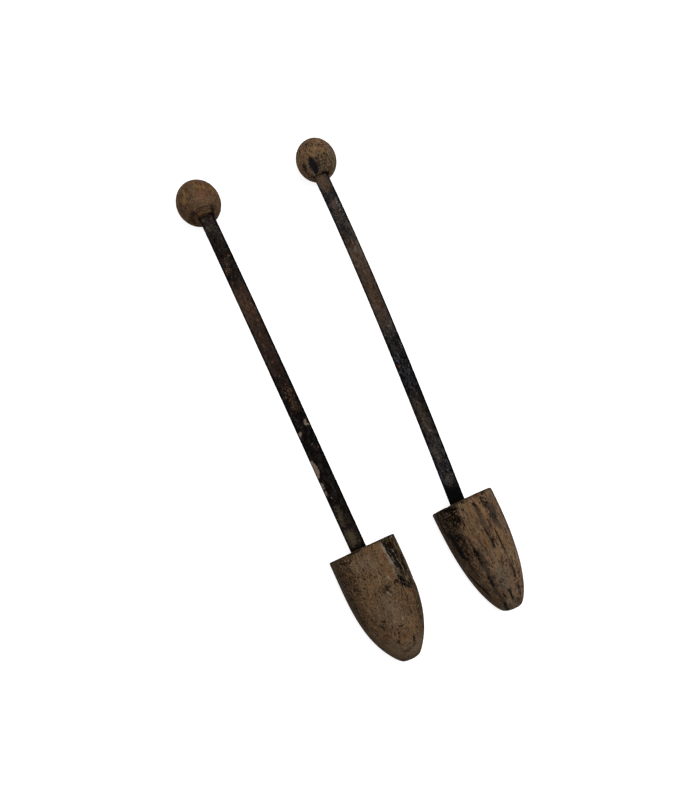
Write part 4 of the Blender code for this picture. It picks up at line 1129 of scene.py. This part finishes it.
def fill(graph, node, inputs):
    """Fills a node's sockets: another node's socket is linked, and a value is set."""
    for name, value in inputs.items():
        if isinstance(value, bpy.types.NodeSocket):
            graph.links.new(value, node.inputs[name])
        else:
            node.inputs[name].default_value = value
    return node


def add(graph, kind, inputs=None, **settings):
    """Adds a node, sets its options, and fills its sockets."""
    node = graph.nodes.new("ShaderNode" + kind)
    for name, value in settings.items():
        setattr(node, name, value)
    return fill(graph, node, inputs or {})


def calc(graph, operation, *values, clamp=False):
    """A sum of one to three values."""
    return add(graph, "Math", dict(enumerate(values)), operation=operation, use_clamp=clamp).outputs[0]


def times(graph, first, second, clamp=False):
    """The first value times the second."""
    return calc(graph, "MULTIPLY", first, second, clamp=clamp)


def less(graph, first, second):
    """The first value less the second."""
    return calc(graph, "SUBTRACT", first, second)


def plus(graph, start, value, weight, clamp=False):
    """The start plus a value times its weight."""
    return calc(graph, "MULTIPLY_ADD", value, weight, start, clamp=clamp)


print("a mid brown in linear light:", np.round(swatch(84, 66, 50), 3))

# %% Colours, ranges and noise
# A Mix node has sockets for every kind of data. These are the numbers of those for colours
MIX_FACTOR, MIX_FIRST, MIX_SECOND, MIX_RESULT = 0, 6, 7, 2


def mixed(graph, factor, first, second, blend="MIX"):
    """Two colours mixed by a factor."""
    inputs = {MIX_FACTOR: factor, MIX_FIRST: first, MIX_SECOND: second}
    return add(graph, "Mix", inputs, data_type="RGBA", blend_type=blend).outputs[MIX_RESULT]


def laid_over(graph, colour, mask, share, paint):
    """A paint laid over a colour, where and as far as the mask times a share says."""
    return mixed(graph, times(graph, mask, share), colour, paint)


def stretch(graph, value, low, high, bottom=0.0, top=1.0):
    """Carries the span from low to high onto bottom to top, smoothly, and holds it there."""
    inputs = {"Value": value, "From Min": low, "From Max": high, "To Min": bottom, "To Max": top}
    return add(graph, "MapRange", inputs, interpolation_type="SMOOTHSTEP").outputs["Result"]


def in_cells(graph, vector, thick, long):
    """The coordinates counted in cells that are so thick and so long, in metres."""
    per_cell = (1 / thick, 1 / long, 1 / thick)
    return add(graph, "VectorMath", {0: vector, 1: per_cell}, operation="MULTIPLY").outputs[0]


def noise(graph, vector, thick, long, detail=2.0, distortion=0.0):
    """Blender's own noise in such cells."""
    return add(graph, "TexNoise", {
        "Vector": in_cells(graph, vector, thick, long), "Scale": 1.0, "Detail": detail,
        "Roughness": 0.55, "Distortion": distortion}).outputs["Fac"]


def patches(graph, vector, thick, long, low=0.30, high=0.70, **more):
    """Noise with the span where most of it lies spread out to 0 to 1."""
    return stretch(graph, noise(graph, vector, thick, long, **more), low, high)


def ramp(graph, value, stops):
    """A colour for each value: stops are rows of (place, paint)."""
    node = add(graph, "ValToRGB", {"Fac": value})
    band = node.color_ramp
    while len(band.elements) < len(stops):
        band.elements.new(0.5)
    for element, (place, paint) in zip(band.elements, stops):
        element.position = place
        element.color = swatch(*paint)
    return node.outputs["Color"]


def attribute(graph, name):
    """A mark that was painted on the vertices."""
    return add(graph, "Attribute", attribute_name=name, attribute_type="GEOMETRY").outputs["Fac"]


print("a Mix node's sockets for two colours are numbers", MIX_FIRST, "and", MIX_SECOND)

# %% Groups and materials
def new_group(name, inputs):
    """An empty node group: inputs are rows of (name, kind, value)."""
    graph = bpy.data.node_groups.new(name, "ShaderNodeTree")
    for label, kind, value in inputs:
        socket = graph.interface.new_socket(label, in_out="INPUT", socket_type="NodeSocket" + kind)
        if value is not None:
            socket.default_value = value
    return graph, graph.nodes.new("NodeGroupInput").outputs


def put_out(graph, results):
    """Finishes a group: each named value leaves it by a socket of its own."""
    for label in results:
        graph.interface.new_socket(label, in_out="OUTPUT", socket_type="NodeSocketFloat")
    fill(graph, graph.nodes.new("NodeGroupOutput"), results)
    print(graph.name + ":", len(graph.nodes), "nodes")


def use_group(graph, group, inputs):
    """Places a group in a material with its own values."""
    node = graph.nodes.new("ShaderNodeGroup")
    node.node_tree = group
    return fill(graph, node, inputs).outputs


def new_material(name):
    """A material with its graph and its shader."""
    material = bpy.data.materials.new(name)
    material.use_nodes = True
    return material, material.node_tree, material.node_tree.nodes["Principled BSDF"]


def bumped(graph, height, strength, distance):
    """The normal of a surface with this height on it."""
    inputs = {"Height": height, "Strength": strength, "Distance": distance}
    return add(graph, "Bump", inputs).outputs["Normal"]


def dress(obj, material):
    """Gives a piece its one material."""
    obj.data.materials.clear()
    obj.data.materials.append(material)


print("pieces to dress:", 2 + 2 + 4 + len(fixings))

# %% [markdown]
# ## Old wood
#
# The blocks and knobs are a close-grained brown hardwood that was never varnished, only handled. Up
# close it has growth rings, fibres that run heel to toe, short dark pores, and a patchwork of lighter
# and darker areas. One group works all of these out from the object's coordinates, as plain numbers.
# The growth rings are circles round a heart line that lies along the block. We bend them by adding
# noise to the coordinates before we measure the distance from that line.

# %% The wood's figure
SWAY = (0.009, 0.0, 0.009)
SQUARE_TO_GRAIN = (1.0, 0.0, 1.0)

wood_figure, given = new_group(
    "wood figure", [("Vector", "Vector", None), ("Heart", "Vector", (0.0, 0.0, 0.0)),
                    ("Ring Width", "Float", 0.0024), ("Pore Share", "Float", 0.25)])
g, place = wood_figure, given["Vector"]
bends = {"Vector": in_cells(g, place, 0.013, 0.045), "Scale": 1.0, "Detail": 2.0}
sway = add(g, "TexNoise", bends).outputs["Color"]
swayed = add(g, "VectorMath", {0: sway, 1: SWAY, 2: place}, operation="MULTIPLY_ADD").outputs[0]
off_heart = add(g, "VectorMath", {0: swayed, 1: given["Heart"]}, operation="SUBTRACT").outputs[0]
flat = add(g, "VectorMath", {0: off_heart, 1: SQUARE_TO_GRAIN}, operation="MULTIPLY").outputs[0]
radius = add(g, "VectorMath", {0: flat}, operation="LENGTH").outputs["Value"]
year = calc(g, "FRACT", calc(g, "DIVIDE", radius, given["Ring Width"]))
rings = calc(g, "MAXIMUM", calc(g, "POWER", year, 3.0), stretch(g, year, 0.0, 0.18, 1.0, 0.0))
fibres = patches(g, place, 0.00085, 0.0080, 0.32, 0.68, detail=3.0)
areas = patches(g, place, 0.0055, 0.0090, detail=4.0, distortion=0.6)
specks = patches(g, place, 0.00058, 0.00085, 0.32, 0.68, detail=1.5)
drift = patches(g, place, 0.0085, 0.0140, 0.32, 0.68)
# Pores are thickest where the areas are dark and in the late part of a ring
level = plus(g, given["Pore Share"], rings, 0.10)
level = plus(g, calc(g, "ADD", level, 0.11), areas, -0.22)
short = patches(g, place, 0.00048, 0.0019, detail=1.0)
long = patches(g, place, 0.00050, 0.0050, distortion=0.3)
pores = stretch(g, less(g, level, calc(g, "MINIMUM", short, long)), -0.05, 0.08)
flecks = stretch(g, patches(g, place, 0.00070, 0.0017, detail=1.0), 0.74, 0.90)
height = plus(g, plus(g, times(g, fibres, 0.5), pores, -0.9), specks, 0.4)
put_out(g, {"Rings": rings, "Fibres": fibres, "Pores": pores, "Flecks": flecks, "Areas": areas,
            "Specks": specks, "Drift": drift, "Height": height})

# %% [markdown]
# ## The frayed edge of a mark
#
# A painted mark fades evenly from its path, as if it were sprayed on. A real stain creeps along the
# fibres and stops at a ragged border. So a second group moves the mark's value up and down with a
# fine noise before it is cut at one half. How much it moves is the fray, and how sharply it is cut is
# the softness. Each material chooses the cells of that noise: round ones for dirt, long ones for wood.

# %% The frayed edge of a mark
frayed_mark, given = new_group(
    "frayed mark", [("Mark", "Float", 0.0), ("Cells", "Vector", None), ("Fray", "Float", 0.6),
                    ("Softness", "Float", 0.12)])
g = frayed_mark
fine = add(g, "TexNoise", {"Vector": given["Cells"], "Scale": 1.0, "Detail": 3.0, "Roughness": 0.55})
centred = less(g, stretch(g, fine.outputs["Fac"], 0.28, 0.72), 0.5)
moved = plus(g, given["Mark"], centred, given["Fray"])
mask = stretch(g, moved, less(g, 0.5, given["Softness"]), calc(g, "ADD", 0.5, given["Softness"]))
# Where nothing was painted, the noise alone must not make a mark
put_out(g, {"Mask": times(g, mask, stretch(g, given["Mark"], 0.0, 0.25))})

# %% [markdown]
# ## Dressing the wood
#
# The material lays colours over each other: first the wood's own browns, chosen by its areas,
# fibres and rings and made darker on the blocks' sides as painted shade, then the pores, and then
# the marks that we painted: ochre where it was rubbed, grey where it weathered, black where it is
# stained, and black as painted shade along the back edges, round the mouths and in the slots.
# Roughness and bump read the same numbers, so that a pore is dark, dull and deep in the same place.

# %% Wood material
ROUND_CELLS = (0.0007, 0.0009)
FINE_CELLS = (0.0008, 0.0012)
FIBRE_CELLS = (0.00055, 0.0026)
DULL = 0.02
WARM_DRIFT, COOL_DRIFT = (1.05, 0.96, 0.92, 1.0), (0.96, 1.02, 1.00, 1.0)
PALE_LIP = (120, 111, 98)
TORN_STRANDS = [(0.14, (10, 8, 6)), (0.42, (46, 36, 24)), (0.66, (74, 59, 41)), (0.94, (116, 100, 78))]
# The marks in the order in which they lie over each other: cells, fray, softness, share and paint
WOOD_MARKS = (("ochre", ROUND_CELLS, 1.3, 0.35, 0.60, "ochre"),
              ("weathered", ROUND_CELLS, 1.2, 0.40, 0.55, "grey"),
              ("lip", FIBRE_CELLS, 1.7, 0.24, 0.84, "pale"),
              ("stain", FIBRE_CELLS, 1.3, 0.13, 0.86, "smoke"),
              ("turning", ROUND_CELLS, 0.9, 0.34, 0.60, "black"),
              # The rim and dark marks also carry painted shade: on the back edges, round the mouths and
              # in the slots
              ("rim", ROUND_CELLS, 0.9, 0.30, 0.60, "black"),
              ("black", ROUND_CELLS, 1.1, 0.13, 0.96, "black"),
              ("speckle", FINE_CELLS, 1.7, 0.12, 0.92, "black"),
              ("dark", ROUND_CELLS, 0.6, 0.22, 0.84, "black"))


def mark_mask(graph, mark, place, cells, fray, softness):
    """The frayed mask of one painted mark."""
    return use_group(graph, frayed_mark, {
        "Mark": attribute(graph, mark), "Cells": in_cells(graph, place, *cells), "Fray": fray,
        "Softness": softness})["Mask"]


def wood_material(name, browns, paints, heart, turn=(0.0, 0.0, 0.0), pore_share=0.03, pore_black=0.60,
                  areas=0.18, fibres=0.28, specks=0.50, hole=(14, 12, 11), hole_fray=0.6):
    """The browns are a ramp from dark to light. The weights say how much the areas, fibres and specks
    each move along it. The paints are the colours of the marks, and hole that of the deepest."""
    paints = {"pale": PALE_LIP, **paints}
    material, graph, shader = new_material(name)
    whole = add(graph, "TexCoord").outputs["Object"]
    turned_back = add(graph, "Mapping", {"Vector": whole, "Rotation": turn}, vector_type="TEXTURE")
    place = turned_back.outputs["Vector"]
    figure = use_group(graph, wood_figure, {"Vector": place, "Heart": heart, "Pore Share": pore_share})

    tone = 0.5
    for part, weight in (("Areas", areas), ("Fibres", fibres), ("Specks", specks), ("Rings", -0.06)):
        tone = plus(graph, tone, less(graph, figure[part], 0.5), weight)
    # Painted shade: the blocks' sides are made darker
    tone = plus(graph, tone, attribute(graph, "painted_side_shade"), -0.42)
    drift = mixed(graph, figure["Drift"], WARM_DRIFT, COOL_DRIFT)
    colour = mixed(graph, 1.0, ramp(graph, tone, browns), drift, "MULTIPLY")
    colour = laid_over(graph, colour, figure["Flecks"], 0.34, swatch(*browns[-1][1]))
    colour = laid_over(graph, colour, figure["Pores"], pore_black, swatch(*paints["black"]))

    torn = mark_mask(graph, "torn", place, ROUND_CELLS, 0.5, 0.15)
    colour = laid_over(graph, colour, torn, 0.92, ramp(graph, figure["Fibres"], TORN_STRANDS))
    laid = {}
    for mark, cells, fray, softness, share, paint in WOOD_MARKS:
        laid[mark] = mark_mask(graph, mark, place, cells, fray, softness)
        colour = laid_over(graph, colour, laid[mark], share, swatch(*paints[paint]))
    holes = mark_mask(graph, "pits", place, FIBRE_CELLS, hole_fray, 0.14)
    colour = laid_over(graph, colour, holes, 1.00, swatch(*hole))

    rough = stretch(graph, figure["Areas"], 0.0, 1.0, 0.78, 0.90)
    rough = plus(graph, rough, laid["stain"], -0.08, clamp=True)
    relief = plus(graph, figure["Height"], torn, times(graph, figure["Fibres"], 1.5))
    relief = plus(graph, relief, laid["dark"], -0.4)
    fill(graph, shader, {"Base Color": colour, "Roughness": rough, "Specular IOR Level": DULL,
                         "Normal": bumped(graph, relief, 0.7, 0.00030)})
    print(name + ":", len(graph.nodes), "nodes")
    return material


# %% The four woods
dress(left.block_object, wood_material(
    "left block wood",
    [(0.0, (42, 30, 20)), (0.28, (66, 49, 34)), (0.56, (87, 67, 48)), (1.0, (116, 94, 71))],
    {"black": (18, 14, 10), "smoke": (47, 37, 25), "grey": (97, 85, 70), "ochre": (102, 77, 52)},
    heart=(left.x + 0.002, 0.0, 0.006), areas=0.14, specks=0.62, pore_share=0.035, pore_black=0.68))
dress(right.block_object, wood_material(
    "right block wood",
    [(0.0, (43, 32, 23)), (0.28, (73, 57, 43)), (0.56, (95, 75, 57)), (1.0, (121, 97, 76))],
    {"black": (4, 3, 2), "smoke": (50, 43, 36), "grey": (98, 87, 76), "ochre": (103, 77, 49)},
    heart=(right.x - 0.004, 0.0, -0.004), fibres=0.62, specks=0.44, pore_share=0.06, pore_black=0.70))
dress(left.knob_object, wood_material(
    "left knob wood",
    [(0.0, (42, 29, 20)), (0.28, (63, 46, 32)), (0.58, (85, 63, 45)), (1.0, (108, 83, 61))],
    {"black": (20, 15, 11), "smoke": (48, 36, 25), "grey": (88, 73, 58), "ochre": (116, 87, 49)},
    heart=(-0.033, 0.0, -0.002), turn=(-left.rise_at_knob, 0.0, -left.lean), pore_share=-0.02,
    pore_black=0.45, specks=0.48, fibres=0.40))
dress(right.knob_object, wood_material(
    "right knob wood",
    [(0.0, (38, 29, 21)), (0.28, (66, 50, 37)), (0.58, (93, 73, 54)), (1.0, (124, 100, 76))],
    {"black": (18, 15, 11), "smoke": (46, 39, 30), "grey": (94, 84, 70), "ochre": (114, 88, 60)},
    heart=(0.047, 0.0, 0.004), turn=(-right.rise_at_knob, 0.0, -right.lean), pore_share=0.07,
    pore_black=0.62, specks=0.75, hole=(23, 22, 24), hole_fray=0.45))

# %% [markdown]
# ## Rusted spring steel
#
# Spring steel keeps a thin blue-black skin from its hardening. Where that skin wore off it rusted
# to a dull brown film, in places with orange-brown specks, and near the block a few chips show bare
# grey metal. We mix a grey and a brown ramp by how brown each stretch is, and read both ramps at
# the same lightness.

# %% Steel's surface
steel_skin, given = new_group("steel skin", [("Vector", "Vector", None)])
g, place = steel_skin, given["Vector"]
grit = noise(g, place, 0.00065, 0.00080, detail=3.0)
streaks = noise(g, place, 0.0008, 0.0060, detail=3.0)
put_out(g, {
    "Clouds": noise(g, place, 0.0042, 0.0085, detail=4.0, distortion=0.4),
    "Mottle": noise(g, place, 0.0017, 0.0030, detail=3.0), "Streaks": streaks, "Grit": grit,
    "Flecks": patches(g, place, 0.0009, 0.0013, 0.60, 0.68),
    "Holes": stretch(g, noise(g, place, 0.0010, 0.0017), 0.36, 0.44, 1.0, 0.0),
    "Height": plus(g, grit, streaks, 0.35)})


# %% Strip material
def strip_material(name, greys, rusts):
    """Greys and rusts are two ramps from dark to light. The lightness is the painted one plus the
    skin's own noises, which wander further where there is little rust."""
    material, graph, shader = new_material(name)
    place = add(graph, "TexCoord").outputs["Object"]
    skin = use_group(graph, steel_skin, {"Vector": place})
    painted_brown = attribute(graph, "brown")
    wander = 0.0
    for part, weight in (("Clouds", 1.05), ("Mottle", 1.30), ("Streaks", 0.75), ("Grit", 1.55)):
        wander = plus(graph, wander, less(graph, skin[part], 0.5), weight)
    unrest = plus(graph, 1.25, painted_brown, -0.80)
    tone = plus(graph, attribute(graph, "light"), wander, unrest)
    # Painted shade, with the dark patina of the edges: both edges are darker, the right one more
    border = plus(graph, -0.75, attribute(graph, "across"), -0.70)
    tone = plus(graph, tone, attribute(graph, "edge"), border)
    tone = plus(graph, tone, attribute(graph, "pits"), -0.10, clamp=True)
    brown = plus(graph, painted_brown, less(graph, skin["Clouds"], 0.5), -1.2, clamp=True)
    colour = mixed(graph, brown, ramp(graph, tone, greys), ramp(graph, tone, rusts))
    showing = times(graph, plus(graph, 0.05, tone, 0.75), unrest, clamp=True)
    colour = laid_over(graph, colour, skin["Flecks"], showing, swatch(88, 75, 62))
    colour = laid_over(graph, colour, skin["Holes"], times(graph, unrest, 0.80), swatch(2, 2, 2))

    dust = mark_mask(graph, "dust", place, ROUND_CELLS, 0.9, 0.40)
    colour = laid_over(graph, colour, dust, 0.72, swatch(72, 62, 47))
    rust = mark_mask(graph, "rust", place, ROUND_CELLS, 0.9, 0.20)
    rust_grain = stretch(graph, skin["Grit"], 0.35, 0.65)
    rust_shade = mixed(graph, rust_grain, swatch(50, 36, 26), swatch(96, 71, 50))
    colour = laid_over(graph, colour, rust, 0.85, rust_shade)
    pale = mark_mask(graph, "pale", place, ROUND_CELLS, 0.9, 0.18)
    colour = laid_over(graph, colour, pale, 0.85, swatch(103, 89, 78))

    bare = times(graph, less(graph, 1.0, brown), 0.22)
    metal = times(graph, bare, less(graph, 1.0, rust), clamp=True)
    rough = plus(graph, stretch(graph, skin["Grit"], 0.3, 0.7, 0.52, 0.74), rust, 0.14, clamp=True)
    relief = plus(graph, skin["Height"], rust, 0.5)
    fill(graph, shader, {"Base Color": colour, "Metallic": metal, "Roughness": rough,
                         "Specular IOR Level": DULL, "Normal": bumped(graph, relief, 0.5, 0.00018)})
    print(name + ":", len(graph.nodes), "nodes")
    return material


left.steel = strip_material(
    "left strip steel", [(0.0, (2, 1, 1)), (0.5, (33, 32, 31)), (1.0, (72, 70, 66))],
    [(0.0, (3, 2, 2)), (0.5, (47, 34, 27)), (1.0, (89, 67, 50))])
right.steel = strip_material(
    "right strip steel", [(0.0, (2, 2, 3)), (0.5, (35, 37, 41)), (1.0, (72, 74, 77))],
    [(0.0, (4, 3, 2)), (0.5, (50, 39, 31)), (1.0, (92, 73, 57))])
for tree in (left, right):
    dress(tree.front_half, tree.steel)
    dress(tree.rear_half, tree.steel)

# %% [markdown]
# ## Nail steel
#
# The heads of the nails and pins are plain steel, gone brown in clouds. They share the strips' skin
# group, so this material only has to mix a grey and a brown, and to be metal where it isn't rusty.

# %% Nail heads and pins
nail_steel, graph, shader = new_material("nail steel")
skin = use_group(graph, steel_skin, {"Vector": add(graph, "TexCoord").outputs["Object"]})
rusty = stretch(graph, skin["Clouds"], 0.42, 0.60)
greys = ramp(graph, skin["Grit"], [(0.3, (40, 38, 36)), (0.7, (92, 88, 82))])
browns = ramp(graph, skin["Grit"], [(0.3, (46, 32, 22)), (0.7, (98, 70, 46))])
fill(graph, shader, {
    "Base Color": mixed(graph, rusty, greys, browns),
    "Metallic": times(graph, less(graph, 1.0, rusty), 0.8),
    "Roughness": stretch(graph, skin["Grit"], 0.3, 0.7, 0.38, 0.66),
    "Normal": bumped(graph, skin["Height"], 0.5, 0.00012)})
for fixing in fixings:
    dress(fixing, nail_steel)
print("nail steel:", len(graph.nodes), "nodes, on", len(fixings), "nails and pins")

# %% [markdown]
# ## The camera
#
# The pair was photographed from above by a camera that leaned back a little. A plumb line through
# such a camera runs towards one point of the picture, and that point with the focal length gives the
# camera's tilt. The pair also lies at an angle to the picture, so we turn the result about the
# vertical. All of this comes down to three vectors, which are the columns of the camera's matrix.

# %% Camera
from mathutils import Matrix, Vector

PICTURE = (700, 800)
FOCAL_PIXELS = 700.0
PLUMB_POINT = (345.0, 556.0)
PAIR_ANGLE = math.radians(24.6)
CAMERA_PLACE = (-0.04637, -0.09732, 0.4375)
SENSOR_WIDTH = 36.0
HALF_PIXEL = 0.5 / PICTURE[1]

across, upward = PLUMB_POINT[0] - PICTURE[0] / 2, PICTURE[1] / 2 - PLUMB_POINT[1]
up = -Vector((across, upward, -FOCAL_PIXELS)).normalized()
right_way = (Vector((1, 0, 0)) - up.x * up).normalized()
away = up.cross(right_way)
world_to_camera = Matrix((right_way, away, up)).transposed()
pair_to_world = Matrix.Rotation(PAIR_ANGLE, 3, "Z")
turned_camera = (world_to_camera @ pair_to_world).transposed().to_4x4()
camera_data = bpy.data.cameras.new("camera")
camera_data.sensor_width = SENSOR_WIDTH
camera_data.lens = FOCAL_PIXELS * SENSOR_WIDTH / PICTURE[1]
camera_data.clip_start = 0.01
camera_data.shift_x, camera_data.shift_y = -HALF_PIXEL, HALF_PIXEL
camera = in_scene("camera", camera_data)
camera.matrix_world = Matrix.Translation(CAMERA_PLACE) @ turned_camera
bpy.context.scene.camera = camera
print("the camera looks along", np.round(-np.array(camera.matrix_world.col[2])[:3], 3))

# %% [markdown]
# ## Floor and light
#
# The floor is plain white, and shows white to the camera whatever the light does. Its own share of
# light is small, so that it can still darken under the trees. Three large soft lamps stand above and
# to the sides. The sky is white to the eye and in mirrors, but what it sends onto the wood is bright
# near the horizon and dim overhead, as in a room with white walls and a dark ceiling, so that the
# sides and the backs of the blocks are lit as well as their tops.

# %% Floor
FLOOR_HALF = 1.5


def seen_directly(graph):
    """1 for rays that come from the camera, from a mirror or through glass, and 0 for the light that
    falls on things."""
    ray = add(graph, "LightPath").outputs
    shown = calc(graph, "MAXIMUM", ray["Is Camera Ray"], ray["Is Glossy Ray"])
    return calc(graph, "MAXIMUM", shown, ray["Is Transmission Ray"])


corners = [(x * FLOOR_HALF, y * FLOOR_HALF, 0) for x, y in ((-1, -1), (1, -1), (1, 1), (-1, 1))]
floor_mesh = bpy.data.meshes.new("floor")
floor_mesh.from_pydata(corners, [], [(0, 1, 2, 3)])
floor = in_scene("floor", floor_mesh)
paper, graph, shader = new_material("floor paper")
fill(graph, shader, {
    "Base Color": (0.50, 0.50, 0.50, 1.0), "Roughness": 0.9, "Specular IOR Level": 0.1,
    "Emission Color": (1.0, 1.0, 1.0, 1.0),
    "Emission Strength": times(graph, seen_directly(graph), 0.80)})
dress(floor, paper)
print("the floor is", 2 * FLOOR_HALF, "m square")

# %% Sky and lamps
world = bpy.data.worlds.new("studio")
bpy.context.scene.world = world
world.use_nodes = True
graph = world.node_tree
height = add(graph, "SeparateXYZ", {0: add(graph, "TexCoord").outputs["Generated"]}).outputs["Z"]
dome = stretch(graph, height, 0.0, 0.5, 1.0, 0.02)
# For plain values a Mix node uses sockets 0, 2 and 3, and its first output
strength = add(graph, "Mix", {0: seen_directly(graph), 2: dome, 3: 1.0}, data_type="FLOAT").outputs[0]
fill(graph, graph.nodes["Background"], {"Color": (1.0, 1.0, 1.0, 1.0), "Strength": strength})


def lamp(name, place, power, size):
    """An area lamp aimed at the middle of the trees. Its place is given as the picture shows it, as
    metres to the right, up the picture and above the floor."""
    data = bpy.data.lights.new(name, "AREA")
    data.energy = power
    data.size = size
    place = pair_to_world.transposed() @ Vector(place)
    turn = place.to_track_quat("Z", "Y").to_matrix().to_4x4()
    in_scene(name, data).matrix_world = Matrix.Translation(place) @ turn
    print(name, "stands at", np.round(place, 2))


lamp("key lamp", (0.30, 0.20, 1.10), 11.2, 0.7)
lamp("right lamp", (0.85, 0.10, 0.60), 2.7, 0.5)
lamp("left lamp", (-0.75, 0.25, 0.75), 3.8, 0.6)
bpy.context.scene.view_settings.view_transform = "Standard"
